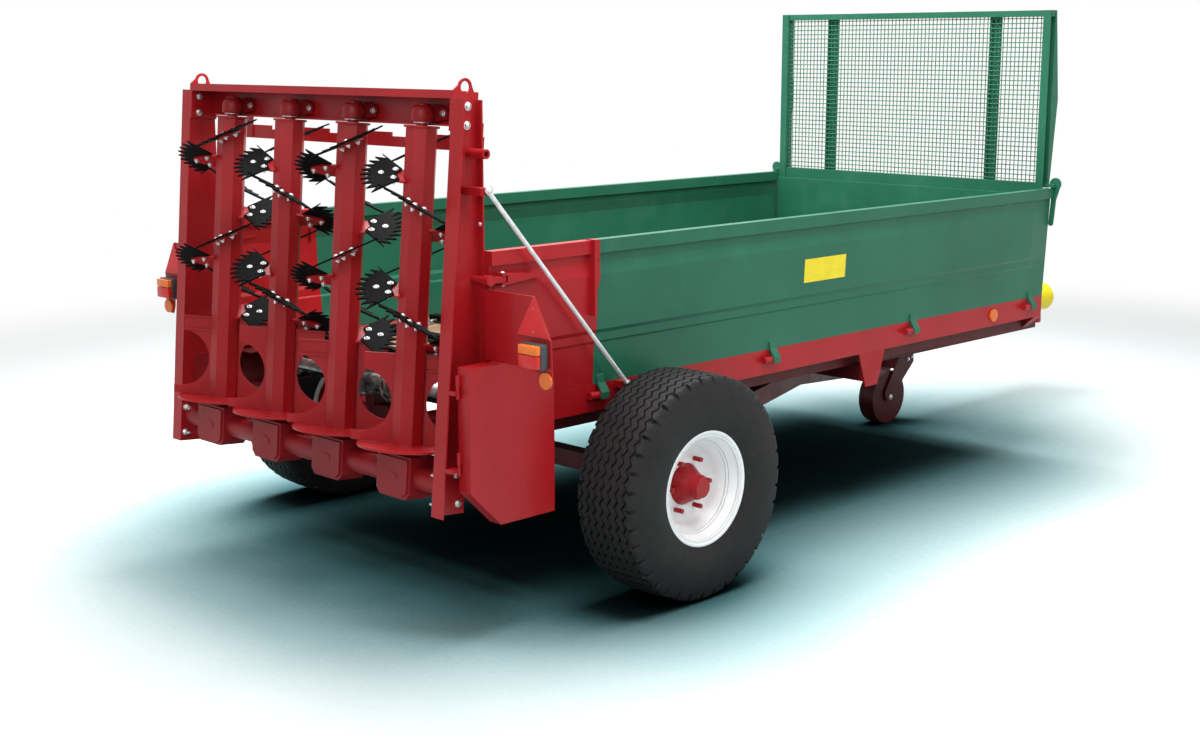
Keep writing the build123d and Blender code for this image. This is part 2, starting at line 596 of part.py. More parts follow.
def make_gate():
    rail_top = RAIL_TOP + BOARD_HEIGHT
    low = FRONT_BOARD_TOP + SEAT
    sill = rail_top + 25
    front = GATE_X + GATE_POST_DEPTH
    outer = GATE_INNER + GATE_POST_WIDTH
    beside = wall_line(rail_top) - TOP_RAIL_IN - SEAT
    x0 = GATE_X + 8
    frame = box(x0, x0 + GATE_BAR, -outer, outer, GATE_TOP - GATE_BAR, GATE_TOP)
    frame += box(x0, x0 + GATE_BAR, -GATE_INNER - 5, GATE_INNER + 5, low, sill)
    for side in (-1, 1):
        frame += box(GATE_X, front, side * GATE_INNER, side * (GATE_INNER + 5), low, GATE_TOP)
        frame += box(front - 5, front, side * GATE_INNER, side * outer, rail_top + SEAT, GATE_TOP)
        frame += box(GATE_X, GATE_X + 5, side * GATE_INNER, side * outer, rail_top + SEAT, GATE_TOP)
        frame += box(GATE_X, GATE_X + 5, side * GATE_INNER, side * beside, low, rail_top + 1)
        y0, y1 = sorted((side * (outer - 5), side * outer))
        middle = (GATE_TOP + rail_top) / 2
        foot = rail_top + SEAT
        fin = [(front - 5, foot), (front + 12, foot), (front + GATE_FIN, middle), (front + 5, GATE_TOP),
               (front - 5, GATE_TOP)]
        frame += side_slab(fin, y0, y1)
        y0, y1 = sorted((side * (GATE_STILE_Y - GATE_STILE / 2), side * (GATE_STILE_Y + GATE_STILE / 2)))
        frame += box(x0 + STILE_FACE, x0 + STILE_BACK, y0, y1, low, GATE_TOP - 2)
        frame += box(x0 + STILE_WEB, x0 + STILE_BACK, y1 - 5, y1, low, GATE_TOP - 2)
    parts["gate_frame"] = frame
    mesh = []
    inner = GATE_STILE_Y - GATE_STILE / 2
    outer_stile = GATE_STILE_Y + GATE_STILE / 2
    for y0, y1 in ((-GATE_INNER, -outer_stile), (-inner, inner), (outer_stile, GATE_INNER)):
        mesh.append(box(x0 + 14, x0 + 18, y0, y1, sill, GATE_TOP - GATE_BAR))
    parts["gate_mesh"] = Compound(children=mesh)

    wall = wall_line(rail_top)
    plate = [(wall - 5, rail_top + 5), (wall + 44, rail_top + 5), (wall + 25, rail_top - 56),
             (wall + 16, rail_top - 173), (wall - 9, rail_top - 173), (wall, rail_top - 56)]
    latch = cross_slab(plate, LATCH_X, LATCH_X + LATCH_SHEET)
    latch += rod((LATCH_X, wall + 19, rail_top + 21), (LATCH_X + LATCH_SHEET, wall + 19, rail_top + 21), 30)
    foot = (LATCH_X, wall + 3.5, rail_top - 173)
    latch += rod(foot, (LATCH_X + LATCH_SHEET, *foot[1:]), 12.5)
    latch += box(LATCH_X - 18, front - 5 - SEAT, GATE_INNER + 16, wall + 25, rail_top + 5, rail_top + 20)
    latches = [latch, mirrored(latch)]
    parts["corner_latches"] = Compound(children=latches)


# ---------------------------------------------------------------- drawbar, stand and drive line
V_START = (617.0, 736.0)       # the drawbar's arms start under the main beams here
V_MEET = 2700.0
V_HALF_WIDTH = 30.0
V_HIGH = 500.0                 # underside of the arms where they run level
V_BEND = (1456.0, 2250.0)      # the arms fall to the tongue between these
BRIDGE = (1480.0, 1540.0)      # rear and front faces of the bar across the main beams
TAB_TOP = (1414.0, 1604.0)     # the side tabs' rear and front edges, at the rails
TAB_FOOT = (1468.0, 1555.0)    # and at their lower ends
TAB_LOW = 541.0


def make_drawbar():
    ys = TONGUE_WIDTH / 2 - V_HALF_WIDTH
    start = Vector(V_START[0], V_START[1], 0)
    end = Vector(V_MEET, ys, 0)
    run = end - start
    length = run.length
    plane = Plane(origin=start, x_dir=run, z_dir=run.cross(Vector(0, 0, 1)))
    drop = TONGUE_BOTTOM
    high = V_HIGH
    k0, k1 = ((x - V_START[0]) / run.X * length for x in V_BEND)
    h = TONGUE_HEIGHT
    outline = [(0, high), (k0, high), (k1, drop), (length, drop), (length, drop + h), (k1, drop + h),
               (k0, high + h), (0, high + h)]
    arm = slab(plane, outline, V_HALF_WIDTH, both=True)
    heel = V_START[0]
    arm += box(heel - 5, heel + 110, BEAM_HALF - BEAM_WIDTH, BEAM_HALF, high + h - 30, BEAM_BOTTOM)
    tongue = box(V_MEET - 120, TONGUE_TIP, -TONGUE_WIDTH / 2, TONGUE_WIDTH / 2, drop, drop + h)
    tongue += arm + mirrored(arm)
    bar = box(*BRIDGE, -BEAM_HALF, BEAM_HALF, high + h - 20, BEAM_BOTTOM)
    bar -= rod((BRIDGE[0] - 80, 0, PTO_Z), (BRIDGE[1] + 60, 0, PTO_Z), DRIVE_TUBE + SEAT)
    tongue += bar
    for side in (-1, 1):
        tab = [(TAB_TOP[0], RAIL_LOW), (TAB_TOP[1], RAIL_LOW), (TAB_FOOT[1], TAB_LOW), (TAB_FOOT[0], TAB_LOW)]
        y0, y1 = sorted((side * (FRAME_HALF - 8), side * FRAME_HALF))
        tongue += side_slab(tab, y0, y1)
        tongue += box(*BRIDGE, side * (BEAM_HALF - 5), side * (FRAME_HALF - 5), high + h - 20, BEAM_BOTTOM)
    parts["drawbar"] = tongue

    eye = rod((TOW_EYE_X, 0, drop + h / 2 - 18), (TOW_EYE_X, 0, drop + h / 2 + 18), TOW_EYE_RADIUS)
    eye += box(TONGUE_TIP, TOW_EYE_X, -30, 30, drop + h / 2 - 18, drop + h / 2 + 18)
    eye -= rod((TOW_EYE_X, 0, drop), (TOW_EYE_X, 0, drop + h), TOW_EYE_BORE)
    parts["tow_eye"] = eye


def make_jockey():
    """The swing-up stand: a fork with a wheel, on a pin through a block at the tongue's left side."""
    near = TONGUE_WIDTH / 2 + FORK_GAP
    wheel_near = near + FORK_PLATE + FORK_GAP
    wheel_far = wheel_near + JOCKEY_WIDTH
    far = wheel_far + FORK_GAP
    hub_z = JOCKEY_RADIUS
    outline = [(-76, 31), (-205, -155), (-206, -176), (-192, -204), (-172, -213), (-46, -110), (54, -21),
               (51, 24), (-8, 33)]
    plate = [(PIVOT_X + x, PIVOT_Z + z) for x, z in outline]
    fork = side_slab(plate, near, near + FORK_PLATE) + side_slab(plate, far, far + FORK_PLATE)
    web = [(-97, -43), (-92, -46), (-65, -2), (-70, 4)]
    fork += side_slab([(PIVOT_X + x, PIVOT_Z + z) for x, z in web], near + 1, far + 1)
    out = 10
    fork += rod((PIVOT_X, near - 3, PIVOT_Z), (PIVOT_X, far + FORK_PLATE + out, PIVOT_Z), PIVOT_RADIUS)
    fork += rod((JOCKEY_X, near - 3, hub_z), (JOCKEY_X, far + FORK_PLATE + out, hub_z), AXLE_PIN)
    parts["jockey_fork"] = fork
    wheel = rod((JOCKEY_X, wheel_near, hub_z), (JOCKEY_X, wheel_far, hub_z), JOCKEY_RADIUS)
    wheel += rod((JOCKEY_X, wheel_near - 3, hub_z), (JOCKEY_X, wheel_far + 3, hub_z), 22)
    wheel -= rod((JOCKEY_X, 0, hub_z), (JOCKEY_X, far + 50, hub_z), AXLE_PIN + RUNNING)
    parts["jockey_wheel"] = wheel
    block = box(PIVOT_X - 40, PIVOT_X + 40, wheel_near, wheel_far, PIVOT_Z - 26, PIVOT_Z + 114)
    block += box(PIVOT_X - 40, PIVOT_X + 40, TONGUE_WIDTH / 2, wheel_near + 1, PIVOT_Z + 64, PIVOT_Z + 114)
    block -= rod((PIVOT_X, 0, PIVOT_Z), (PIVOT_X, far, PIVOT_Z), PIVOT_RADIUS + RUNNING)
    parts["jockey_bracket"] = block


def make_driveline():
    parts["pto_shaft"] = rod((PTO_REAR, 0, PTO_Z), (PTO_FRONT - 20, 0, PTO_Z), PTO_SHAFT)
    guard = rod((PTO_REAR + 60, 0, PTO_Z), (PTO_FRONT - 80, 0, PTO_Z), PTO_TUBE)
    bell = Plane(origin=(PTO_FRONT - BELL_LENGTH, 0, PTO_Z), z_dir=(1, 0, 0))
    guard += bell * Pos(0, 0, BELL_LENGTH / 2) * Cone(45, BELL_RADIUS, BELL_LENGTH)
    guard -= bell * Pos(0, 0, BELL_LENGTH / 2 + 5) * Cone(41, BELL_RADIUS - 4, BELL_LENGTH)
    guard -= rod((PTO_REAR, 0, PTO_Z), (PTO_FRONT, 0, PTO_Z), PTO_TUBE - 4)
    for x in (PTO_REAR + 66, PTO_FRONT - 200):
        ring = rod((x, 0, PTO_Z), (x + 14, 0, PTO_Z), PTO_TUBE - 2)
        guard += ring - rod((x - 1, 0, PTO_Z), (x + 15, 0, PTO_Z), PTO_SHAFT + 0.1)
    parts["pto_guard"] = guard
    cradle = box(4130, 4160, -60, 60, TONGUE_BOTTOM + TONGUE_HEIGHT, PTO_Z)
    cradle -= rod((4100, 0, PTO_Z), (4200, 0, PTO_Z), PTO_TUBE + SEAT)
    parts["pto_cradle"] = cradle
    block = box(FRAME_FRONT - 60, FRAME_FRONT, -70, 70, PTO_Z - 50, BEAM_BOTTOM)
    block += rod((FRAME_FRONT, 0, PTO_Z), (PTO_REAR - SEAT, 0, PTO_Z), PTO_SHAFT)
    parts["input_bearing"] = block
    tube = rod((-1100, 0, PTO_Z), (FRAME_FRONT - 60, 0, PTO_Z), DRIVE_TUBE)
    tube -= UNIT * box(-2000, TEE_HALF, -2000, 2000, -2000, 3000)
    parts["drive_tube"] = tube


# ---------------------------------------------------------------- rear unit
def beater_side(k):
    """The y of beater k, counted from the left."""
    return (BEATER_COUNT - 1) / 2 * BEATER_SPACING - k * BEATER_SPACING


def tooth_outline():
    """Blade seen from above: narrow at the tube, toothed along the outer arc. (radial, sideways)"""
    points = [(BLADE_INNER, -BLADE_HEEL), (BLADE_INNER + 16, 0), (BLADE_INNER, BLADE_HEEL)]
    step = radians(2 * BLADE_SPAN / BLADE_TEETH)
    for k in range(BLADE_TEETH):
        tip = radians(BLADE_SPAN) - k * step
        root = tip - 0.78 * step
        points.append((BLADE_TIP * cos(tip), BLADE_TIP * sin(tip)))
        points.append((BLADE_ROOT * cos(root), BLADE_ROOT * sin(root)))
    last = -radians(BLADE_SPAN)
    points.append((BLADE_TIP * cos(last), BLADE_TIP * sin(last)))
    return points


def paddle_outline():
    """One wing of a throwing paddle: full width at top and disc, waisted between. (radial, height)"""
    low = DISC_THICK / 2
    toe = DISC_RADIUS + 22
    corners = [(PADDLE_WING, PADDLE_LEDGE), (PADDLE_WING, PADDLE_HEIGHT), (20, PADDLE_HEIGHT), (20, low - 2),
               (toe, low + 6), (toe, low + 38)]
    return Polyline(*corners) + ThreePointArc(corners[-1], (PADDLE_WAIST, PADDLE_HEIGHT / 2), corners[0])


def make_beater(k):
    y = beater_side(k)
    hand = 1 if k % 2 == 0 else -1
    across = TUBE_FLATS / cos(radians(22.5))
    octagon = RegularPolygon(across / 2, 8, rotation=22.5)
    tube = Pos(0, 0, TOP_PLATE / 2) * extrude(octagon, amount=TOP_PLATE / 2, both=True)
    rotor = tube + Pos(0, 0, TOP_PLATE + 4) * Cylinder(TOP_PLATE_RADIUS, 8)
    shaft_top = BEAM_LOW + 60
    rotor += Pos(0, 0, (shaft_top + TOP_PLATE) / 2) * Cylinder(SHAFT_RADIUS, shaft_top - TOP_PLATE)
    rotor += Cylinder(DISC_RADIUS, DISC_THICK)
    rotor += Pos(0, 0, CASE_TOP / 2 - 15) * Cylinder(SHAFT_RADIUS, -CASE_TOP + 30)
    blades = []
    for level in range(BLADE_LEVELS):
        s = TOP_PLATE - BLADE_FIRST - level * BLADE_STEP
        angle = (-135 - 90 * level) if hand > 0 else (45 + 90 * level)
        place = Pos(0, 0, s) * Rot(0, 0, angle) * Rot(BLADE_TILT * hand, 0, 0)
        blades.append(place * flat_slab(tooth_outline(), 0, BLADE_THICK))
        root = TUBE_FLATS / 2 - 8
        outline = [(root, -46), (100, -34), (138, -16), (146, 0), (138, 16), (100, 34), (root, 46)]
        rotor += place * flat_slab(outline, -BRACKET_THICK, 0)
    upright = Plane(origin=(0, 0, 0), x_dir=(1, 0, 0), z_dir=(0, -1, 0))
    for turn in (135, -45):
        wing = make_face(upright * paddle_outline())
        paddle = extrude(wing, amount=PADDLE_THICK / 2, dir=(0, -1, 0), both=True)
        for z in (PADDLE_LEDGE, PADDLE_HEIGHT - PADDLE_THICK):
            fold = box(TUBE_FLATS / 2, PADDLE_WING, 0, hand * PADDLE_FOLD, z, z + PADDLE_THICK)
            paddle += fold
        paddle -= Pos(0, 0, TOP_PLATE / 2) * Cylinder(TUBE_FLATS / 2 - 12, TOP_PLATE)
        rotor += Rot(0, 0, turn) * paddle
    place = UNIT * Pos(0, y, 0)
    parts[f"beater_{k + 1}"] = place * rotor
    parts[f"blades_{k + 1}"] = place * Compound(children=blades)


def make_posts():
    """Channels open to the outside: the rear flange leans with the beaters, the front one is plumb."""
    y0 = POST_WEB
    y1 = POST_WEB + POST_SHEET
    top = unit_point(EAR_FRONT, POST_TOP)[1]
    knee = RAIL_LOW
    foot = (FOOT_FRONT, POST_BOTTOM)
    above = (FOOT_FRONT, (knee - UNIT_Z) + FOOT_FRONT * sin(radians(TILT)))
    outline = [unit_point(POST_REAR, POST_BOTTOM), unit_point(*foot), unit_point(*above), (POST_FACE, knee),
               (POST_FACE, top), unit_point(POST_REAR, POST_TOP)]
    post = side_slab(outline, y0, y1)
    post += UNIT * box(POST_REAR, POST_REAR + POST_SHEET, y0, POST_OUT, POST_BOTTOM, POST_TOP)
    post += box(POST_FACE - POST_SHEET, POST_FACE, y0, y0 + POST_LIP, knee, top)
    ear = [(POST_REAR, POST_TOP - 2), (EAR_FRONT, POST_TOP - 2),
           (EYE_OFFSET + EAR_HALF, EYE_HEIGHT + EAR_RISE), (EYE_OFFSET - EAR_HALF, EYE_HEIGHT + EAR_RISE),
           (POST_REAR, BEAM_TOP)]
    head = side_slab(ear, y0, y1)
    head += rod((EYE_OFFSET, y0, EYE_HEIGHT), (EYE_OFFSET, y1, EYE_HEIGHT), EYE_RADIUS)
    head -= rod((EYE_OFFSET, y0 - 1, EYE_HEIGHT), (EYE_OFFSET, y1 + 1, EYE_HEIGHT), EYE_BORE)
    stub = (PIPE_OFFSET, y0 + 2, PIPE_HEIGHT)
    end = (PIPE_OFFSET, y0 + PIPE_LENGTH, PIPE_HEIGHT)
    pipe = rod(stub, end, PIPE_RADIUS)
    pipe -= rod((PIPE_OFFSET, y1 + 20, PIPE_HEIGHT), (PIPE_OFFSET, end[1] + 1, PIPE_HEIGHT), PIPE_BORE)
    both_sides("rear_post", post + UNIT * (head + pipe))


def make_top_beam():
    end = POST_WEB - SEAT
    front = BEAM_WEB + BEAM_SHEET
    beam = box(BEAM_WEB, front, -end, end, BEAM_LOW, BEAM_TOP)
    beam += box(POST_REAR, front, -end, end, BEAM_TOP - BEAM_SHEET, BEAM_TOP)
    beam += box(POST_REAR, POST_REAR + BEAM_SHEET, -end, end, BEAM_TOP - BEAM_LIP, BEAM_TOP)
    beam += box(BEAM_WEB - 30, front, -end, end, BEAM_LOW, BEAM_LOW + BEAM_SHEET)
    for side in (-1, 1):
        beam += box(POST_REAR, front, side * (end - END_PLATE), side * end, END_PLATE_LOW, BEAM_TOP)
    parts["top_beam"] = UNIT * beam
    sheet = HANGER_SHEET
    bar = box(CROSSBAR, CROSSBAR + sheet, CROSSBAR_END, end, CROSSBAR_LOW, CROSSBAR_TOP)
    bar += box(CROSSBAR, CROSSBAR + 30, CROSSBAR_END, end, CROSSBAR_LOW, CROSSBAR_LOW + sheet)
    for k in range(BEATER_COUNT):
        y = beater_side(k)
        y0, y1 = y - NOTCH_WIDTH / 2, y + NOTCH_WIDTH / 2
        bar -= box(CROSSBAR - 1, CROSSBAR + sheet + 1, y0, y1, CROSSBAR_TOP - NOTCH_DEPTH, CROSSBAR_TOP + 1)
    for y in (CROSSBAR_END, end - HANGER_WIDTH):
        bar += box(CROSSBAR - sheet, CROSSBAR, y, y + HANGER_WIDTH, CROSSBAR_LOW, HANGER_LOW + sheet)
        bar += box(front, CROSSBAR, y, y + HANGER_WIDTH, HANGER_LOW, HANGER_LOW + sheet)
        bar += box(front, front + sheet, y, y + HANGER_WIDTH, HANGER_LOW, HANGER_TOP)
    parts["notched_crossbar"] = UNIT * bar

    housings = []
    for k in range(BEATER_COUNT):
        y = beater_side(k)
        low = BEAM_LOW + 12
        high = BEAM_LOW + 72
        body = Pos(0, y, (low + high) / 2) * Cone(38, 27, high - low)
        body += box(0, BEAM_WEB - SEAT, y - 28, y + 28, low, high - 8)
        body += box(BEAM_WEB - 12, BEAM_WEB - SEAT, y - 75, y + 75, low + 8, high - 12)
        body -= Pos(0, y, (low + high) / 2 - 10) * Cylinder(SHAFT_RADIUS + RUNNING, high - low)
        body -= Pos(0, y, high - 10) * Cylinder(SHAFT_RADIUS + 2, 6)
        housings.append(UNIT * body)
    parts["bearing_housings"] = Compound(children=housings)

    z = (CASE_TOP + CASE_LOW) / 2
    case = rod((0, -end, z), (0, end, z), CASE_TUBE)
    for k in range(BEATER_COUNT):
        y = beater_side(k)
        half = CASE_WIDTH / 2
        cut = CASE_LOW + CASE_CORNER
        outline = [(y - half, CASE_TOP), (y + half, CASE_TOP), (y + half, cut),
                   (y + half - CASE_CORNER, CASE_LOW),
                   (y - half + CASE_CORNER, CASE_LOW), (y - half, cut)]
        case += cross_slab(outline, -CASE_DEPTH / 2, CASE_DEPTH / 2)
        cover = [(py + (y - py) * 0.12, pz + (z - pz) * 0.12) for py, pz in outline]
        case += cross_slab(cover, -CASE_DEPTH / 2 - CASE_COVER, -CASE_DEPTH / 2 + 1)
        case -= Pos(0, y, CASE_TOP) * Cylinder(SHAFT_RADIUS + RUNNING, 70)
    case += box(-20, TEE_HALF, -TEE_WIDTH / 2, TEE_WIDTH / 2, z - CASE_TUBE, z + CASE_TUBE)
    case += box(TEE_HALF - 20, TEE_HALF, -TEE_WIDTH / 2, TEE_WIDTH / 2, z, z + TEE_TOP)
    parts["gearcases"] = UNIT * case


# ---------------------------------------------------------------- lamps, guard and stays
def make_rear_trim():
    inner = wall_line(1200) + BULGE + SEAT
    y = LAMP_Y
    outline = [(inner, 1205), (y - 22, 1205), (y + 58, 1065), (y + 64, 930), (y + 52, 902), (y + 12, 902),
               (y, 930), (y - 4, 963), (inner, 963)]
    back = LAMP_PLATE_X - 6
    panel = cross_slab(outline, back, LAMP_PLATE_X)
    panel += box(back, LAMP_PLATE_X + 40, inner, inner + 6, 963, 1200)
    both_sides("lamp_panel", panel)
    lamps = []
    reflectors = []
    for side in (-1, 1):
        y0, y1 = sorted((side * (y - 50), side * (y + 50)))
        lamps.append(box(back - 52, back - SEAT, y0, y1, 970, 1055))
        reflectors.append(rod((back - 8, side * (y + 38), 931), (back - SEAT, side * (y + 38), 931), 28))
        at = (2490, side * (FRAME_HALF + SEAT), RAIL_TOP - 51)
        reflectors.append(rod(at, (2490, side * (FRAME_HALF + 9), RAIL_TOP - 51), 30))
    parts["rear_lamps"] = Compound(children=lamps)
    parts["reflectors"] = Compound(children=reflectors)
    upper = (STAY_REAR, FRAME_HALF + 77, STAY_TOP)
    lower = (STAY_FRONT, FRAME_HALF + 47, RAIL_TOP - 6)
    both_sides("stay", rod(upper, lower, STAY_RADIUS))
    lugs = []
    for (x, out, z), root in ((upper, POST_WEB + POST_SHEET), (lower, FRAME_HALF)):
        lug = box(x - 20, x + 20, root + SEAT, out - STAY_RADIUS - 0.6, z - 20, z + 6)
        lugs += [lug, mirrored(lug)]
    parts["stay_lugs"] = Compound(children=lugs)
    outline = [(-910, 957), (-700, 957), (-520, 863), (-520, 394), (-774, 394), (-910, 526)]
    guard = side_slab(outline, GUARD_IN, GUARD_OUT)
    plane = Plane(origin=(0, GUARD_OUT - 3, 0), x_dir=(1, 0, 0), z_dir=(0, -1, 0))
    hollow = offset(make_face(plane * Polyline(*outline, close=True)), amount=-3)
    guard -= extrude(hollow, amount=GUARD_OUT - GUARD_IN, dir=(0, -1, 0))
    x, y = GUARD_PIN_X, GUARD_PIN_Y
    half = HINGE_LENGTH / 2
    for z in HINGE_HEIGHTS:
        guard += rod((x, y, z + half), (x, y, z + HINGE_LENGTH), KNUCKLE)
        guard += box(x, x + 12, y - 4, y + 4, z + half, z + HINGE_LENGTH)
    for z in HINGE_HEIGHTS:
        guard -= rod((x, y, z - 1), (x, y, z + HINGE_LENGTH + 1), HINGE_PIN + RUNNING)
    parts["drive_guard"] = mirrored(guard)
    lugs = []
    for z in HINGE_HEIGHTS:
        lug = rod((x, y, z), (x, y, z + HINGE_LENGTH), HINGE_PIN)
        lug += rod((x, y, z), (x, y, z + half - SEAT), KNUCKLE - 1)
        lug += box(unit_face(POST_REAR, z) + 2, x, POST_OUT + SEAT, y + 3, z + 12, z + 26)
        lugs.append(mirrored(lug))
    parts["guard_hinge_pins"] = Compound(children=lugs)


make_wheels()
make_axle()
make_chassis()
make_cross_members()
make_floor()
make_boards()
make_gate()
make_drawbar()
make_jockey()
make_driveline()
for index in range(BEATER_COUNT):
    make_beater(index)
make_posts()
make_top_beam()
make_rear_trim()

# Move the whole machine so that x = 0 is half way along its length.
boxes = [shape.bounding_box() for shape in parts.values()]
SHIFT = -(min(b.min.X for b in boxes) + max(b.max.X for b in boxes)) / 2
os.makedirs("parts", exist_ok=True)
for name, shape in parts.items():
    export_step(Pos(SHIFT, 0, 0) * shape, f"parts/{name}.step")
print("shift", round(SHIFT, 3), "nodes", len(parts))
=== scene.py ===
import json
from math import cos, pi, radians, sin

import bmesh
import bpy
from mathutils import Matrix, Vector


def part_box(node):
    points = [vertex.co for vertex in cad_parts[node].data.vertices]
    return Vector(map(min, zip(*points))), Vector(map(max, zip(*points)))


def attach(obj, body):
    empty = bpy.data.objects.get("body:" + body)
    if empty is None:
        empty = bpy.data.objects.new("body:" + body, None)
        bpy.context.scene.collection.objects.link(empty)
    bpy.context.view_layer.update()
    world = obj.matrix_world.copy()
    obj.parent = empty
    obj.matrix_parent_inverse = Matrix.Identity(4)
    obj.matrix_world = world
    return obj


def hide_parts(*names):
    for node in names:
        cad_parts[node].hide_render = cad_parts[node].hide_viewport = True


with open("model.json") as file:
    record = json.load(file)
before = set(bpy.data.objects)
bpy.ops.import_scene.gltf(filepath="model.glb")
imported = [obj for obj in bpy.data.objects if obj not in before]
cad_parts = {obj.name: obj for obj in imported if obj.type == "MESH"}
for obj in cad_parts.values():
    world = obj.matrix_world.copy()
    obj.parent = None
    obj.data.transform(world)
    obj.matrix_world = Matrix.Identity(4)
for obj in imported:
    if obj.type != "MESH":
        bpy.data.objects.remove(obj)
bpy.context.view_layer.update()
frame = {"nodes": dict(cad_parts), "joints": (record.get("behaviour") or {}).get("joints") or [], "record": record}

# ------------------------------------------------------------------ places taken from the frame
JOINTS = {joint["name"]: joint for joint in frame["joints"]}
AXIS = Vector(JOINTS["beater_1_spin"]["axis"])          # the beaters' common direction, leaning forward
UNIT_ORIGIN = Vector(JOINTS["beater_1_spin"]["pos_m"])
UNIT_ORIGIN.y = 0
UNIT = Matrix.Translation(UNIT_ORIGIN) @ Matrix((
    (AXIS.z, 0, AXIS.x, 0), (0, 1, 0, 0), (-AXIS.x, 0, AXIS.z, 0), (0, 0, 0, 1)))
BEATER_Y = [JOINTS[f"beater_{k + 1}_spin"]["pos_m"][1] for k in range(4)]
AXLE = Vector((sum(corner.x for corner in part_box("tyre_left")) / 2, 0, 0))


def at(x, y, z):
    """A place given from the axle's foot on the ground, in metres."""
    return Vector((AXLE.x + x, y, z))


def on_side(place, sign):
    """A place given for the left side, kept there where the sign is 1 and mirrored where it is -1."""
    x, y, z = place
    return at(x, sign * y, z)


# ------------------------------------------------------------------ mesh helpers
def ellipse(half_width, half_height, count):
    """The corners of an upright ellipse."""
    return [(half_width * cos(a), half_height * sin(a)) for a in [2 * pi * n / count for n in range(count)]]


def lathe(bm, profile, matrix, segments=16):
    """A turned shape from (radius, height) pairs around the matrix's z axis, closed where the radius is 0."""
    rings = []
    for radius, height in profile:
        if radius < 1e-6:
            rings.append([bm.verts.new(matrix @ Vector((0, 0, height)))])
            continue
        turn = [2 * pi * k / segments for k in range(segments)]
        ring = [Vector((radius * cos(a), radius * sin(a), height)) for a in turn]
        rings.append([bm.verts.new(matrix @ corner) for corner in ring])
    for low, high in zip(rings, rings[1:]):
        for k in range(segments):
            j = (k + 1) % segments
            if len(low) == 1:
                bm.faces.new((low[0], high[k], high[j]))
            elif len(high) == 1:
                bm.faces.new((low[k], low[j], high[0]))
            else:
                bm.faces.new((low[k], low[j], high[j], high[k]))


def prism(bm, outline, z0, z1, matrix):
    """A flat outline made solid between two heights of the matrix's z axis."""
    low = [bm.verts.new(matrix @ Vector((x, y, z0))) for x, y in outline]
    high = [bm.verts.new(matrix @ Vector((x, y, z1))) for x, y in outline]
    bm.faces.new(low[::-1])
    bm.faces.new(high)
    for k in range(len(outline)):
        j = (k + 1) % len(outline)
        bm.faces.new((low[k], low[j], high[j], high[k]))


def soft_box(bm, low, high, radius):
    """A block with rounded edges between two corners."""
    size = Vector(high) - Vector(low)
    middle = (Vector(high) + Vector(low)) / 2
    made = bmesh.ops.create_cube(bm, size=1)["verts"]
    for vert in made:
        vert.co = Vector((vert.co.x * size.x, vert.co.y * size.y, vert.co.z * size.z)) + middle
    edges = list({edge for vert in made for edge in vert.link_edges})
    bmesh.ops.bevel(bm, geom=edges, offset=radius, segments=2, affect="EDGES", profile=0.5)


def aim(place, direction):
    """A matrix at a place whose z axis points along a direction."""
    matrix = Vector(direction).to_track_quat("Z", "Y").to_matrix().to_4x4()
    return Matrix.Translation(place) @ matrix


def tube(bm, points, radius, sides=8, closed=False):
    """A round bar along a list of points."""
    rings = []
    count = len(points)
    for k, point in enumerate(points):
        before = points[k - 1] if k or closed else point
        after = points[(k + 1) % count] if k < count - 1 or closed else point
        matrix = aim(point, after - before)
        ring = [2 * pi * s / sides for s in range(sides)]
        rings.append([bm.verts.new(matrix @ Vector((radius * cos(a), radius * sin(a), 0))) for a in ring])
    pairs = list(zip(rings, rings[1:])) + ([(rings[-1], rings[0])] if closed else [])
    for low, high in pairs:
        shift = 0
        if closed:
            shift = min(range(sides), key=lambda s: (low[0].co - high[s].co).length)
        for k in range(sides):
            j = (k + 1) % sides
            bm.faces.new((low[k], low[j], high[(j + shift) % sides], high[(k + shift) % sides]))
    if not closed:
        bm.faces.new(rings[0][::-1])
        bm.faces.new(rings[-1])


def piece(name, bm, body, material, smooth=True, sharp=35):
    """Turns the mesh into an object that rides on a body."""
    bmesh.ops.recalc_face_normals(bm, faces=bm.faces)
    data = bpy.data.meshes.new(name)
    bm.to_mesh(data)
    bm.free()
    data.materials.append(material)
    if smooth:
        data.polygons.foreach_set("use_smooth", [True] * len(data.polygons))
        data.set_sharp_from_angle(angle=radians(sharp))
    obj = bpy.data.objects.new(name, data)
    bpy.context.scene.collection.objects.link(obj)
    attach(obj, body)
    return obj


# ------------------------------------------------------------------ materials
def srgb(red, green, blue):
    """A screen colour in 0 to 255 as linear light."""
    shares = [c / 255 for c in (red, green, blue)]
    return tuple(((c + 0.055) / 1.055) ** 2.4 if c > 0.0405 else c / 12.92 for c in shares) + (1,)


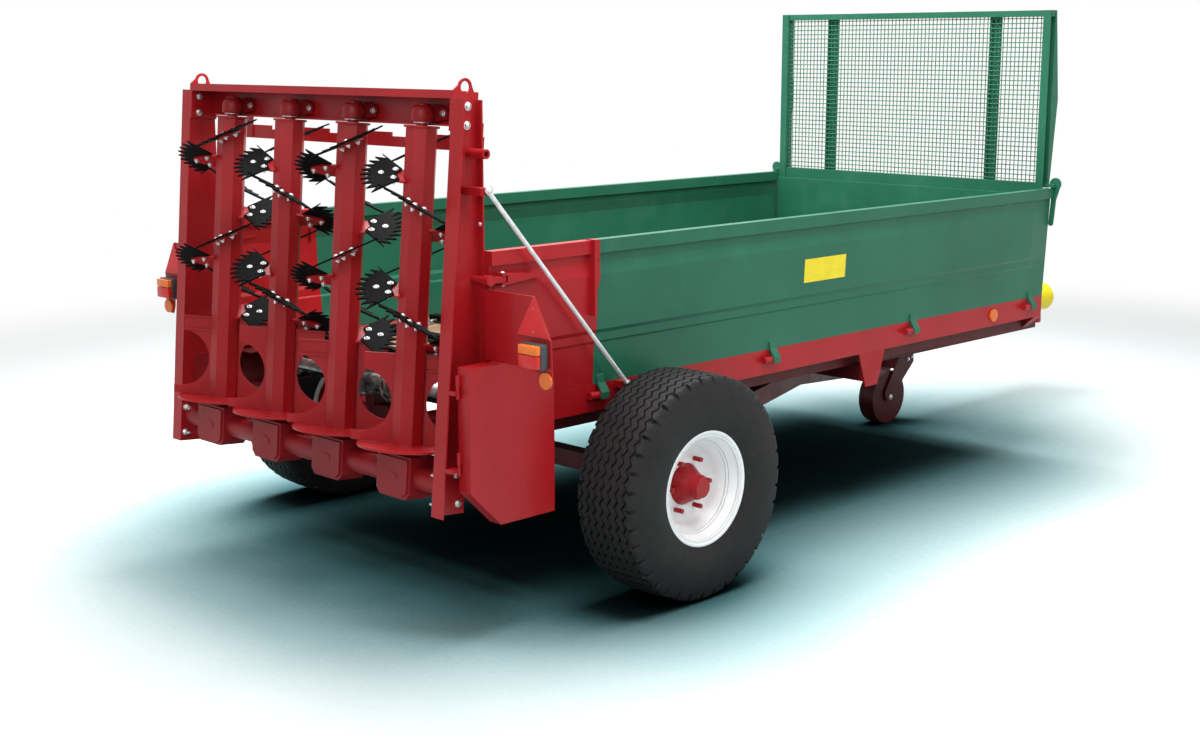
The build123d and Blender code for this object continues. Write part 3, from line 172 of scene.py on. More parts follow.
class Finish:
    """A procedural material: short calls that add and join nodes."""

    def __init__(self, name):
        self.material = bpy.data.materials.new(name)
        self.material.use_nodes = True
        self.tree = self.material.node_tree
        self.shader = self.tree.nodes["Principled BSDF"]
        self.place = self.add("ShaderNodeTexCoord").outputs["Object"]

    def add(self, kind, **settings):
        node = self.tree.nodes.new(kind)
        for key, value in settings.items():
            setattr(node, key, value)
        return node

    def join(self, start, end):
        self.tree.links.new(start, end)

    def set(self, **values):
        for key, value in values.items():
            self.shader.inputs[key.replace("_", " ")].default_value = value

    def noise(self, scale, detail=3.0, rough=0.55, stretch=None):
        node = self.add("ShaderNodeTexNoise")
        node.inputs["Scale"].default_value = scale
        node.inputs["Detail"].default_value = detail
        node.inputs["Roughness"].default_value = rough
        start = self.place
        if stretch:
            mapping = self.add("ShaderNodeMapping")
            mapping.inputs["Scale"].default_value = stretch
            self.join(self.place, mapping.inputs["Vector"])
            start = mapping.outputs["Vector"]
        self.join(start, node.inputs["Vector"])
        return node.outputs["Fac"]

    def ramp(self, value, stops):
        node = self.add("ShaderNodeValToRGB")
        while len(node.color_ramp.elements) < len(stops):
            node.color_ramp.elements.new(0.5)
        for element, (position, colour) in zip(node.color_ramp.elements, stops):
            element.position = position
            element.color = colour if len(colour) == 4 else (*colour, 1)
        self.join(value, node.inputs["Fac"])
        return node.outputs["Color"]

    def grey(self, value, low, high, start=0.0, end=1.0):
        node = self.add("ShaderNodeMapRange")
        node.inputs["From Min"].default_value = start
        node.inputs["From Max"].default_value = end
        node.inputs["To Min"].default_value = low
        node.inputs["To Max"].default_value = high
        self.join(value, node.inputs["Value"])
        return node.outputs["Result"]

    def mix(self, factor, first, second, blend="MIX"):
        node = self.add("ShaderNodeMix", data_type="RGBA", blend_type=blend)
        for key, value in (("Factor", factor), ("A", first), ("B", second)):
            socket = node.inputs[key]
            target = socket
            if socket.name in "AB":
                target = [s for s in node.inputs if s.name == socket.name and s.type == "RGBA"][0]
            if isinstance(value, (tuple, float, int)):
                target.default_value = value
            else:
                self.join(value, target)
        return [s for s in node.outputs if s.type == "RGBA"][0]

    def times(self, first, second):
        node = self.add("ShaderNodeMath", operation="MULTIPLY")
        for socket, value in zip(node.inputs, (first, second)):
            if isinstance(value, (float, int)):
                socket.default_value = value
            else:
                self.join(value, socket)
        return node.outputs[0]

    def edges(self, radius):
        """1 on sharp edges and 0 on flats, and the rounded normal that goes with it."""
        bevel = self.add("ShaderNodeBevel", samples=6)
        bevel.inputs["Radius"].default_value = radius
        geometry = self.add("ShaderNodeNewGeometry")
        dot = self.add("ShaderNodeVectorMath", operation="DOT_PRODUCT")
        self.join(bevel.outputs["Normal"], dot.inputs[0])
        self.join(geometry.outputs["Normal"], dot.inputs[1])
        return self.grey(dot.outputs["Value"], 1.0, 0.0, 0.7, 0.99), bevel.outputs["Normal"]

    def bump(self, height, strength, distance, normal=None):
        node = self.add("ShaderNodeBump")
        node.inputs["Strength"].default_value = strength
        node.inputs["Distance"].default_value = distance
        self.join(height, node.inputs["Height"])
        if normal is not None:
            self.join(normal, node.inputs["Normal"])
        return node.outputs["Normal"]

    def end(self, colour=None, roughness=None, normal=None):
        for key, value in (("Base Color", colour), ("Roughness", roughness), ("Normal", normal)):
            if value is not None:
                self.join(value, self.shader.inputs[key])
        return self.material


PAINTED_SHADE_EDGE = (0.78, 0.80)        # the painted shade stops between these distances from the middle of the machine


def enamel(name, colour, deep, worn, gloss=0.3, painted_shade=None):
    """Sprayed gloss paint: tone drift, orange peel, dust in the dull patches and thin paint on the edges.

    Painted shade, where a colour is given for it, darkens what lies inboard of the side rails, standing in for the
    shadow under the machine.
    """
    finish = Finish(name)
    finish.set(IOR=1.5, Specular_IOR_Level=0.24, Coat_Weight=0.06, Coat_Roughness=0.15)
    drift = finish.noise(1.7, 3)
    fine = finish.noise(9, 5, 0.65)
    tone = finish.ramp(drift, [(0.3, deep), (0.7, colour)])
    dusty = finish.mix(finish.grey(fine, 0.0, 0.16, 0.5, 0.8), tone, worn)
    edge, rounded = finish.edges(0.002)
    chips = finish.times(edge, finish.grey(finish.noise(60, 4, 0.7), 0.0, 0.6, 0.5, 0.75))
    painted = finish.mix(chips, dusty, worn)
    # Painted shade: darker paint inboard of the side rails, where the machine shades its own under-parts.
    if painted_shade:
        across = finish.add("ShaderNodeSeparateXYZ")
        finish.join(finish.place, across.inputs[0])
        out = finish.add("ShaderNodeMath", operation="ABSOLUTE")
        finish.join(across.outputs["Y"], out.inputs[0])
        painted = finish.mix(finish.grey(out.outputs[0], 1.0, 0.0, *PAINTED_SHADE_EDGE), painted, painted_shade)
    rough = finish.grey(fine, gloss, gloss + 0.16, 0.35, 0.7)
    peel = finish.bump(finish.noise(320, 2), 0.05, 0.0006, rounded)
    return finish.end(painted, rough, peel)


def make_rubber():
    """Dark rubber with dust in patches."""
    finish = Finish("rubber")
    finish.set(Specular_IOR_Level=0.2)
    drift = finish.noise(7, 4, 0.6)
    tone = finish.ramp(drift, [(0.3, srgb(26, 25, 26)), (0.75, srgb(40, 38, 38))])
    dust = finish.mix(finish.grey(finish.noise(55, 5, 0.7), 0.0, 0.14, 0.5, 0.8), tone, srgb(84, 80, 76))
    bump = finish.bump(finish.noise(420, 3), 0.12, 0.0008)
    return finish.end(dust, finish.grey(drift, 0.55, 0.75), bump)


def make_blade_steel():
    """Near-black scale that is a little lighter on the edges."""
    finish = Finish("blade_steel")
    finish.set(IOR=1.45, Specular_IOR_Level=0.05)
    scale = finish.noise(35, 5, 0.65)
    tone = finish.ramp(scale, [(0.3, srgb(6, 7, 8)), (0.75, srgb(16, 16, 18))])
    edge, rounded = finish.edges(0.002)
    tone = finish.mix(finish.times(edge, 0.25), tone, srgb(44, 42, 42))
    bump = finish.bump(finish.noise(260, 3), 0.1, 0.0006, rounded)
    return finish.end(tone, finish.grey(scale, 0.55, 0.75), bump)


def make_zinc(name, light, dark, spangle, rough, metal=0.85):
    """Plated or galvanised steel with cloudy patches."""
    finish = Finish(name)
    finish.set(Metallic=metal)
    patches = finish.add("ShaderNodeTexVoronoi")
    patches.inputs["Scale"].default_value = spangle
    finish.join(finish.place, patches.inputs["Vector"])
    cloud = finish.mix(0.5, patches.outputs["Color"], finish.noise(30, 3))
    tone = finish.ramp(cloud, [(0.25, dark), (0.75, light)])
    rounded = finish.edges(0.0015)[1]
    bump = finish.bump(finish.noise(200, 3), 0.08, 0.0005, rounded)
    return finish.end(tone, finish.grey(finish.noise(18, 4), rough, rough + 0.18), bump)


def make_lens(name, colour, deep):
    """Moulded lens with a fine prismatic grid."""
    finish = Finish(name)
    finish.set(IOR=1.49, Roughness=0.28, Specular_IOR_Level=0.3)
    finish.set(Coat_Weight=0.1, Coat_Roughness=0.1, Subsurface_Weight=0.15)
    grid = finish.add("ShaderNodeTexVoronoi", distance="CHEBYCHEV")
    grid.inputs["Scale"].default_value = 170
    grid.inputs["Randomness"].default_value = 0.0
    finish.join(finish.place, grid.inputs["Vector"])
    tone = finish.ramp(grid.outputs["Distance"], [(0.1, deep), (0.5, colour)])
    bump = finish.bump(grid.outputs["Distance"], 0.25, 0.001)
    return finish.end(tone, None, bump)


def make_plastic(name, colour, deep, rough):
    """Moulded plastic with a fine grain, lighter on the edges."""
    finish = Finish(name)
    grain = finish.noise(14, 4, 0.6)
    tone = finish.ramp(grain, [(0.3, deep), (0.7, colour)])
    edge, rounded = finish.edges(0.002)
    tone = finish.mix(finish.times(edge, 0.25), tone, tuple(min(1, c * 1.5) for c in colour[:3]) + (1,))
    bump = finish.bump(finish.noise(650, 2), 0.1, 0.0005, rounded)
    return finish.end(tone, finish.grey(grain, rough, rough + 0.12), bump)


def make_wood():
    """Floor planks that run along the box, with end-to-end grain and dark joints."""
    finish = Finish("floor_planks")
    planks = finish.add("ShaderNodeTexBrick", offset=0.5)
    planks.inputs["Scale"].default_value = 1.0
    planks.inputs["Brick Width"].default_value = 3.4
    planks.inputs["Row Height"].default_value = 0.14
    planks.inputs["Mortar Size"].default_value = 0.004
    planks.inputs["Color1"].default_value = (0.75, 0.75, 0.75, 1)
    planks.inputs["Color2"].default_value = (1, 1, 1, 1)
    planks.inputs["Mortar"].default_value = (0.1, 0.08, 0.06, 1)
    finish.join(finish.place, planks.inputs["Vector"])
    grain = finish.noise(6, 8, 0.65, (0.6, 14, 14))
    tone = finish.ramp(grain, [(0.3, srgb(96, 70, 48)), (0.7, srgb(150, 118, 84))])
    tone = finish.mix(1.0, tone, planks.outputs["Color"], "MULTIPLY")
    bump = finish.bump(grain, 0.25, 0.002)
    return finish.end(tone, finish.grey(grain, 0.55, 0.8), bump)


RED = enamel("red_enamel", srgb(174, 28, 34), srgb(156, 18, 26), srgb(168, 62, 62), 0.3)
# Red enamel with painted shade: darker inboard of the side rails, for the parts in shadow under the machine.
RED_UNDER_SHADED = enamel("red_enamel_painted_shade", srgb(172, 28, 34), srgb(154, 18, 26), srgb(140, 60, 58), 0.45,
                   srgb(84, 14, 18))
RED_DARK = enamel("red_enamel_cast", srgb(150, 24, 30), srgb(122, 14, 20), srgb(140, 52, 50), 0.42)
GREEN = enamel("green_enamel", srgb(38, 106, 82), srgb(30, 94, 72), srgb(84, 134, 114), 0.38)
WIRE = enamel("wire_enamel", srgb(50, 122, 98), srgb(40, 108, 86), srgb(84, 130, 112), 0.45)
WHITE = enamel("white_enamel", srgb(250, 250, 250), srgb(240, 240, 241), srgb(196, 194, 190), 0.25)
RUBBER = make_rubber()
BLADE = make_blade_steel()
ZINC = make_zinc("zinc_plate", srgb(236, 236, 234), srgb(188, 190, 192), 90, 0.25)
GALVANISED = make_zinc("galvanised_tube", srgb(240, 241, 243), srgb(210, 212, 215), 45, 0.35, 0.3)
STEEL = make_zinc("chain_steel", srgb(150, 148, 146), srgb(84, 82, 80), 60, 0.35)
SLAT = make_blade_steel()
LENS_AMBER = make_lens("lens_amber", srgb(245, 128, 50), srgb(214, 92, 24))
LENS_RED = make_lens("lens_red", srgb(214, 44, 40), srgb(168, 20, 24))
HOUSING = make_plastic("lamp_housing", srgb(62, 66, 70), srgb(46, 50, 54), 0.4)
YELLOW = make_plastic("yellow_guard", srgb(240, 224, 24), srgb(222, 200, 16), 0.35)
TIMBER = make_wood()
SIGN = make_plastic("blank_plate", srgb(246, 226, 30), srgb(236, 210, 20), 0.3)
TRIANGLE = make_plastic("triangle_red", srgb(222, 38, 42), srgb(208, 30, 36), 0.4)
TRIANGLE_EDGE = make_plastic("triangle_edge", srgb(146, 22, 28), srgb(126, 16, 22), 0.45)

CAD_FINISH = {
    "red": RED, "green": GREEN, "rim_white": WHITE, "tyre": RUBBER, "black": BLADE, "zinc": GALVANISED,
    "steel": STEEL, "lamp": LENS_RED, "amber": LENS_AMBER, "yellow": YELLOW, "wood": TIMBER,
}
# The parts under the machine that get the painted shade.
UNDER_NODES = ("drawbar", "main_beam_left", "main_beam_right", "axle_beam", "cross_members", "jockey_fork",
               "jockey_wheel", "jockey_bracket", "input_bearing")


def finish_cad_nodes():
    """Gives every carried-over node the finish of its slot."""
    slots = {part["node"]: part["material_slot"] for part in frame["record"]["subparts"]}
    for name, obj in frame["nodes"].items():
        material = CAD_FINISH[slots[name]]
        if name in ("gearcases", "bearing_housings"):
            material = RED_DARK
        if name in UNDER_NODES:
            material = RED_UNDER_SHADED
        if name == "scraper_slats":
            material = SLAT
        obj.data.materials.clear()
        obj.data.materials.append(material)


# ------------------------------------------------------------------ bolts
def add_bolt(bm, place, direction, radius, dome=False):
    """A washer with a hexagon or a domed head; all its sizes follow from the head's radius."""
    matrix = aim(place, direction)
    lathe(bm, [(0, 0), (radius * 1.35, 0), (radius * 1.4, radius * 0.1), (radius * 1.35, radius * 0.25),
               (radius * 0.6, radius * 0.25)], matrix, 16)
    base = radius * 0.25
    if dome:
        rise = [(radius * cos(a), base + radius * 0.7 * sin(a)) for a in [k * pi / 8 for k in range(4)]]
        lathe(bm, [(radius, base)] + rise[1:] + [(0, base + radius * 0.7)], matrix, 14)
    else:
        top = base + radius * 0.75
        hexagon = [(radius * 1.08, base), (radius * 1.08, top - radius * 0.12), (radius * 0.9, top), (0, top)]
        lathe(bm, hexagon, matrix, 6)


BLADE_LEVELS = 8
BLADE_TOP = 1.101 - 0.066        # the highest blade, along the beater from its joint
BLADE_STEP = 0.0985
BLADE_TILT = radians(27)
BLADE_THICK = 0.006
BRACKET = 0.008                  # thickness of the bracket below a blade
BLADE_BOLTS = ((0.086, -0.030), (0.086, 0.030), (0.132, 0.0))   # outward from the axis, and sideways
HEAD_RADIUS = 0.0078
NUT_RADIUS = 0.0072
THREAD_END = [(0.004, 0), (0.004, 0.011), (0.003, 0.012), (0, 0.012)]


def make_blade_bolts():
    """Three bolts a blade: a domed head on top, and a nut with its thread below the bracket."""
    for k, y in enumerate(BEATER_Y):
        bm = bmesh.new()
        hand = 1 if k % 2 == 0 else -1
        for level in range(BLADE_LEVELS):
            angle = radians(-135 - 90 * level) if hand > 0 else radians(45 + 90 * level)
            height = BLADE_TOP - level * BLADE_STEP
            place = (UNIT @ Matrix.Translation((0, y, height)) @ Matrix.Rotation(angle, 4, "Z")
                     @ Matrix.Rotation(BLADE_TILT * hand, 4, "X"))
            up = place.to_3x3() @ Vector((0, 0, 1))
            for radial, sideways in BLADE_BOLTS:
                add_bolt(bm, place @ Vector((radial, sideways, BLADE_THICK)), up, HEAD_RADIUS, dome=True)
                under = place @ Vector((radial, sideways, -BRACKET))
                add_bolt(bm, under, -up, NUT_RADIUS)
                lathe(bm, THREAD_END, aim(under, -up), 8)
        piece(f"blade_bolts_{k + 1}", bm, f"rotor_{k + 1}", ZINC)


# ------------------------------------------------------------------ wheels
TREAD_HALF = 0.131
TYRE_RADIUS = 0.4225
BEAD_RADIUS = 0.196
CROWN_DROP = 0.006               # how much lower the tread lies at its edges
ZIGZAGS = 57
ZIGZAG_STEPS = 8
GROOVE_PITCH = 0.035
GROOVES = [GROOVE_PITCH * k for k in range(-3, 4)]
GROOVE_HALF = 0.0038
GROOVE_LIP = 0.0015              # added to the half width at the top of a groove
GROOVE_TAPER = 0.001             # taken from it at the bottom
GROOVE_DEPTH = 0.014
GROOVE_SWING = 0.008
SLIT_STEPS = 12                  # steps between the slits on the shoulders
SLIT_AT = (1, 2)                 # the steps that a slit takes up
SHOULDER = 0.1112                # the outermost groove ends here


def tyre_profile():
    """The tyre's section from bead to bead: (sideways, radius, share of the zigzag, depth of a slit)."""
    rows = []
    sidewall = [(0.113, BEAD_RADIUS), (0.119, BEAD_RADIUS + 0.012), (0.124, BEAD_RADIUS + 0.024),
                (0.134, 0.245), (0.1405, 0.27), (0.1440, 0.295), (0.1448, 0.32), (0.1435, 0.345),
                (0.1405, 0.365), (0.1350, 0.388)]
    for sideways, radius in sidewall:
        rows.append((-sideways, radius, 0, 0))
    rows.append((-0.1325, 0.4005, 0, 0.012))
    rows.append((-0.128, 0.411, 0, 0.016))
    rows.append((-0.122, 0.4165, 0.3, 0.017))
    rows.append((-0.116, 0.4176, 0.7, 0.016))
    rows.append((-0.1115, 0.4181, 1, 0))
    for middle in GROOVES:
        crown = TYRE_RADIUS - CROWN_DROP * (middle / TREAD_HALF) ** 2
        rows.append((middle - GROOVE_HALF - GROOVE_LIP, crown, 1, 0))
        rows.append((middle - GROOVE_HALF + GROOVE_TAPER, crown - GROOVE_DEPTH, 1, 0))
        rows.append((middle + GROOVE_HALF - GROOVE_TAPER, crown - GROOVE_DEPTH, 1, 0))
        rows.append((middle + GROOVE_HALF + GROOVE_LIP, crown, 1, 0))
        if middle != GROOVES[-1]:
            rib = middle + GROOVE_PITCH / 2
            rows.append((rib, TYRE_RADIUS - CROWN_DROP * (rib / TREAD_HALF) ** 2, 1, 0))
    outside = [row for row in rows if row[0] < -SHOULDER]
    return rows + [(-sideways, radius, zig, notch) for sideways, radius, zig, notch in outside[::-1]]


def make_tyre(side):
    """Carcass and tread in one mesh: zig-zag grooves round the tyre and notches along its shoulders."""
    low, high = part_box(f"tyre_{side}")
    centre = (low + high) / 2
    bm = bmesh.new()
    steps = ZIGZAGS * ZIGZAG_STEPS
    rows = tyre_profile()
    rings = []
    for k in range(steps):
        angle = 2 * pi * k / steps
        phase = (k % ZIGZAG_STEPS) / ZIGZAG_STEPS
        swing = GROOVE_SWING * (1 - 4 * abs(phase - 0.5))
        notched = k % SLIT_STEPS in SLIT_AT
        ring = []
        for sideways, radius, zig, notch in rows:
            depth = notch if notched else 0
            y = sideways + swing * zig
            r = radius - depth
            ring.append(bm.verts.new(centre + Vector((r * cos(angle), y, r * sin(angle)))))
        rings.append(ring)
    for k in range(steps):
        first, second = rings[k], rings[(k + 1) % steps]
        for j in range(len(rows) - 1):
            bm.faces.new((first[j], first[j + 1], second[j + 1], second[j]))
    tyre = piece(f"tread_{side}", bm, f"wheel_{side}", RUBBER, sharp=28)
    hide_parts(f"tyre_{side}")


RIM_SECTION = [                  # (radius, distance outboard of the wheel's middle), round the whole section
    (0.2150, 0.1190), (0.1955, 0.1180), (0.1935, 0.0910), (0.1700, 0.0750), (0.1700, -0.0700),
    (0.1935, -0.0910), (0.1955, -0.1180), (0.2140, -0.1190), (0.2162, -0.1215), (0.2150, -0.1245),
    (0.2060, -0.1245), (0.1890, -0.1180), (0.1870, -0.0900), (0.1640, -0.0720), (0.1640, -0.0060),
    (0.1500, 0.0020), (0.0785, 0.0060), (0.0785, 0.0165), (0.1270, 0.0165), (0.1400, 0.0215),
    (0.1490, 0.0310), (0.1540, 0.0440), (0.1940, 0.1080), (0.2020, 0.1180),
    (0.2085, 0.1235), (0.2135, 0.1245), (0.2165, 0.1228), (0.2165, 0.1205),
]
CAP_OUT = 0.088                  # the grease cap's ring, outboard of the wheel's middle
CAP_RING = [(0.041, -0.004), (0.0435, 0), (0.0425, 0.003), (0.0385, 0.004), (0.0385, -0.004), (0.041, -0.004)]


def make_rim(side):
    """A deep dished rim with a thin lip, and the ring round its grease cap."""
    sign = 1 if side == "left" else -1
    low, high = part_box(f"tyre_{side}")
    bm = bmesh.new()
    lathe(bm, RIM_SECTION + RIM_SECTION[:1], aim((low + high) / 2, (0, sign, 0)), 96)
    bmesh.ops.remove_doubles(bm, verts=bm.verts, dist=1e-5)
    rim = piece(f"dish_{side}", bm, f"wheel_{side}", WHITE, sharp=50)
    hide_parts(f"rim_{side}")
    bm = bmesh.new()
    cap = (low + high) / 2 + Vector((0, sign * CAP_OUT, 0))
    lathe(bm, CAP_RING, aim(cap, (0, sign, 0)), 40)
    piece(f"cap_ring_{side}", bm, f"wheel_{side}", RED)


# ------------------------------------------------------------------ gate mesh and chains
WIRE_PITCH = 0.023
WIRE_RADIUS = 0.0024


def make_gate_wires():
    """Welded square mesh in the three bays between the gate's uprights."""
    bm = bmesh.new()
    low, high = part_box("gate_mesh")
    x = (low.x + high.x) / 2
    y = low.y
    while y < high.y:
        tube(bm, [Vector((x, y, low.z)), Vector((x, y, high.z))], WIRE_RADIUS, 5)
        y += WIRE_PITCH
    z = low.z + WIRE_PITCH / 2
    while z < high.z:
        behind = x - 2 * WIRE_RADIUS
        tube(bm, [Vector((behind, low.y, z)), Vector((behind, high.y, z))], WIRE_RADIUS, 5)
        z += WIRE_PITCH
    wires = piece("gate_wires", bm, "chassis", WIRE)
    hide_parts("gate_mesh")


CHAIN_SIDES = (-0.640, -0.090, 0.090, 0.640)
LINK_PITCH = 0.047
LINK_BAR = 0.0055
LINK_HALF_WIDTH = 0.014
LINK_LAP = 0.004                 # how far a link reaches past half the pitch
CHAIN_INSET = 0.008              # the links' middle line inside the plain chain's outer face


def make_chains():
    """Round-link chains over their sprockets, every second link turned upright."""
    low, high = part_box("scraper_chains")
    outer = (high.z - low.z) / 2
    z = (high.z + low.z) / 2
    radius = outer - CHAIN_INSET
    x0, x1 = low.x + outer, high.x - outer
    run = x1 - x0
    total = 2 * run + 2 * pi * radius
    count = 2 * round(total / LINK_PITCH / 2)

    def along(distance):
        """The place on the chain's loop and its slope there, from the start of the upper run."""
        distance %= total
        if distance < run:
            return Vector((x0 + distance, 0, z + radius)), 0.0
        distance -= run
        if distance < pi * radius:
            a = distance / radius
            return Vector((x1 + radius * sin(a), 0, z + radius * cos(a))), a
        distance -= pi * radius
        if distance < run:
            return Vector((x1 - distance, 0, z - radius)), pi
        a = (distance - run) / radius
        return Vector((x0 - radius * sin(a), 0, z - radius * cos(a))), pi + a

    half = LINK_PITCH / 2 + LINK_LAP
    bend = LINK_HALF_WIDTH - LINK_BAR / 2
    oval = []
    for centre, start in ((half - bend, -pi / 2), (bend - half, pi / 2)):
        oval += [(centre + bend * cos(start + k * pi / 4), bend * sin(start + k * pi / 4)) for k in range(5)]
    for index, y in enumerate(CHAIN_SIDES):
        bm = bmesh.new()
        for k in range(count):
            place, angle = along(k * total / count)
            place.y = y
            upright = Matrix.Rotation((k % 2) * pi / 2, 4, "X")
            matrix = Matrix.Translation(place) @ Matrix.Rotation(angle, 4, "Y") @ upright
            tube(bm, [matrix @ Vector((u, v, 0)) for u, v in oval], LINK_BAR, 6, closed=True)
        chain = piece(f"scraper_chain_{index + 1}", bm, "chassis", STEEL)
        if index == 0:
            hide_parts("scraper_chains")


# ------------------------------------------------------------------ lamps, plates and small bolts
LAMP_SPAN = (1.078, 1.178)       # the lamps' inner and outer sides, from the middle of the machine
LENS_SPLIT = 0.58                # the share of the height that the red lens takes up
LENS_GAP = 0.0006
LENS_INSET = 0.004
LENS_SEAT = 0.016                # the housing starts this far ahead of the lenses' face


def make_lamps():
    """Rear lamps with a dark housing, a red lens below and an amber one above."""
    low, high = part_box("rear_lamps")
    for side, sign in (("left", 1), ("right", -1)):
        y0, y1 = sorted(sign * y for y in LAMP_SPAN)
        bm = bmesh.new()
        soft_box(bm, (low.x + LENS_SEAT, y0, low.z), (high.x, y1, high.z), 0.006)
        body = piece(f"lamp_body_{side}", bm, "chassis", HOUSING)
        if side == "left":
            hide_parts("rear_lamps")
        split = low.z + (high.z - low.z) * LENS_SPLIT
        lenses = (("stop", low.z + LENS_INSET, split - LENS_GAP, LENS_RED),
                  ("turn", split + LENS_GAP, high.z - LENS_INSET, LENS_AMBER))
        for part, z0, z1, material in lenses:
            bm = bmesh.new()
            soft_box(bm, (low.x, y0 + LENS_INSET, z0), (low.x + 0.02, y1 - LENS_INSET, z1), 0.004)
            piece(f"lamp_{part}_{side}", bm, "chassis", material)


PANEL_BACK = 0.776               # the lamp panels' rear face, behind the axle
TRIANGLE_BASE = ((1.023, 1.066), (1.186, 1.066), (1.106, 1.203))    # outward and up, for each corner
TRIANGLE_FACE = ((1.0265, 1.0715), (1.1825, 1.0715), (1.106, 1.2015))
TRIANGLE_THICK = 0.0042
RIVET_OUT = 1.1055
RIVET_HEIGHTS = (1.085, 1.165)
RIVET = [(0.004, 0), (0.0035, 0.0012), (0, 0.002)]


def make_triangles():
    """Plain red triangles on the lamp panels, each held by two rivets."""
    x = AXLE.x - PANEL_BACK
    for side, sign in (("left", 1), ("right", -1)):
        bm = bmesh.new()
        matrix = Matrix(((0, 0, -1, x), (1, 0, 0, 0), (0, 1, 0, 0), (0, 0, 0, 1)))
        prism(bm, [(sign * y, z) for y, z in TRIANGLE_BASE], 0, 0.003, matrix)
        piece(f"triangle_edge_{side}", bm, "chassis", TRIANGLE_EDGE)
        bm = bmesh.new()
        prism(bm, [(sign * y, z) for y, z in TRIANGLE_FACE], 0.0029, TRIANGLE_THICK, matrix)
        piece(f"triangle_{side}", bm, "chassis", TRIANGLE)
        bm = bmesh.new()
        for z in RIVET_HEIGHTS:
            rivet = aim(Vector((x - TRIANGLE_THICK, sign * RIVET_OUT, z)), (-1, 0, 0))
            lathe(bm, RIVET, rivet, 10)
        piece(f"triangle_rivets_{side}", bm, "chassis", STEEL)


BOARD_LEAN = 0.022 / 0.534       # outward for each metre up the side board
BOARD_FOOT = 0.796               # height of the board's foot
BOARD_OUT = 0.8454               # its outer face there, from the middle of the machine
PLATE_SPAN = (0.98, 1.26)
PLATE_HEIGHTS = (1.052, 1.100, 1.150)
PLATE_THICK = 0.0012


def make_sign():
    """The blank yellow plate on each side board."""
    x0, x1 = PLATE_SPAN
    for side, sign in (("left", 1), ("right", -1)):
        bm = bmesh.new()
        for z0, z1 in zip(PLATE_HEIGHTS, PLATE_HEIGHTS[1:]):
            quad = []
            for x, z in ((x0, z0), (x1, z0), (x1, z1), (x0, z1)):
                out = sign * (BOARD_OUT + (z - BOARD_FOOT) * BOARD_LEAN)
                quad.append((x, out, z))
            face = [bm.verts.new(at(*corner)) for corner in quad]
            back = [bm.verts.new(at(x, out + sign * PLATE_THICK, z)) for x, out, z in quad]
            bm.faces.new(face)
            bm.faces.new(back)
            for k in range(4):
                bm.faces.new((face[k], face[(k + 1) % 4], back[(k + 1) % 4], back[k]))
        piece(f"plate_{side}", bm, "chassis", SIGN, smooth=False)


POST_OUT = 0.804                 # the rear posts' outer face, from the middle of the machine
HEAD_BOLTS = (1.180, 1.117)      # heights along the posts, from the beaters' joints
FOOT_BOLTS = ((-0.072, 0.044), (-0.173, 0.056))     # height along the posts, and forward
FOOT_THREAD = [(0.006, 0), (0.006, 0.031), (0.005, 0.032), (0, 0.032)]
FLANGE_BOLT = (-0.752, 0.818, 1.42)      # behind the rear post's front flange, on the left
CLAMP_BOLT = (-0.710, 0.880, 1.235)      # the middle of the clamp's upright bolt
CLAMP_HALF = 0.021
STAY_HEAD = (-0.800, 0.9190, 1.543)
STAY_FOOT = (-0.100, 0.8890, 0.790)
BEARING_AT = 1.154               # middle of the upper bearings, along the beaters from their joints
BEARING_BOLTS = (-0.058, 0.058)  # sideways from each beater
STAND_FACE = 0.003               # the bolts' seat, in from the fork's near side


def make_frame_bolts():
    """The bright bolts of the rear frame, the clamps, the posts' feet and the stand."""
    bm = bmesh.new()
    back = UNIT.to_3x3() @ Vector((-1, 0, 0))
    for sign in (-1, 1):
        for s in HEAD_BOLTS:
            add_bolt(bm, UNIT @ Vector((0.010, sign * POST_OUT, s)), (0, sign, 0), 0.011, dome=True)
            add_bolt(bm, UNIT @ Vector((-0.020, sign * 0.7897, s)), (0, -sign, 0), 0.010)
        add_bolt(bm, on_side(FLANGE_BOLT, sign), (-1, 0, 0), 0.006)
        for s, offset in FOOT_BOLTS:
            add_bolt(bm, UNIT @ Vector((offset, sign * POST_OUT, s)), (0, sign, 0), 0.010)
            inside = UNIT @ Vector((-0.035, sign * 0.798, s))
            add_bolt(bm, inside, (0, -sign, 0), 0.010)
            lathe(bm, FOOT_THREAD, aim(inside, (0, -sign, 0)), 10)
        x, y, z = CLAMP_BOLT
        for turn in (-1, 1):
            end = on_side((x, y, z + turn * CLAMP_HALF), sign)
            add_bolt(bm, end, (0, 0, turn), 0.0075, dome=True)
        add_bolt(bm, on_side(STAY_HEAD, sign), (0, sign, 0), 0.012, dome=True)
        add_bolt(bm, on_side(STAY_FOOT, sign), (0, sign, 0), 0.009)
    for y in BEATER_Y:
        for offset in BEARING_BOLTS:
            add_bolt(bm, UNIT @ Vector((0.042, y + offset, BEARING_AT)), back, 0.009)
    piece("frame_bolts", bm, "chassis", ZINC)
    bm = bmesh.new()
    leg = JOINTS["jockey_wheel_spin"]["pos_m"]
    pivot = JOINTS["jockey_fold"]["pos_m"]
    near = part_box("jockey_fork")[0].y + STAND_FACE
    add_bolt(bm, Vector((leg[0], near, leg[2])), (0, -1, 0), 0.011, dome=True)
    add_bolt(bm, Vector((pivot[0], near, pivot[2])), (0, -1, 0), 0.008)
    add_bolt(bm, Vector((pivot[0] + 0.036, near, pivot[2] + 0.006)), (0, -1, 0), 0.005)
    piece("stand_bolts", bm, "jockey_leg", ZINC)


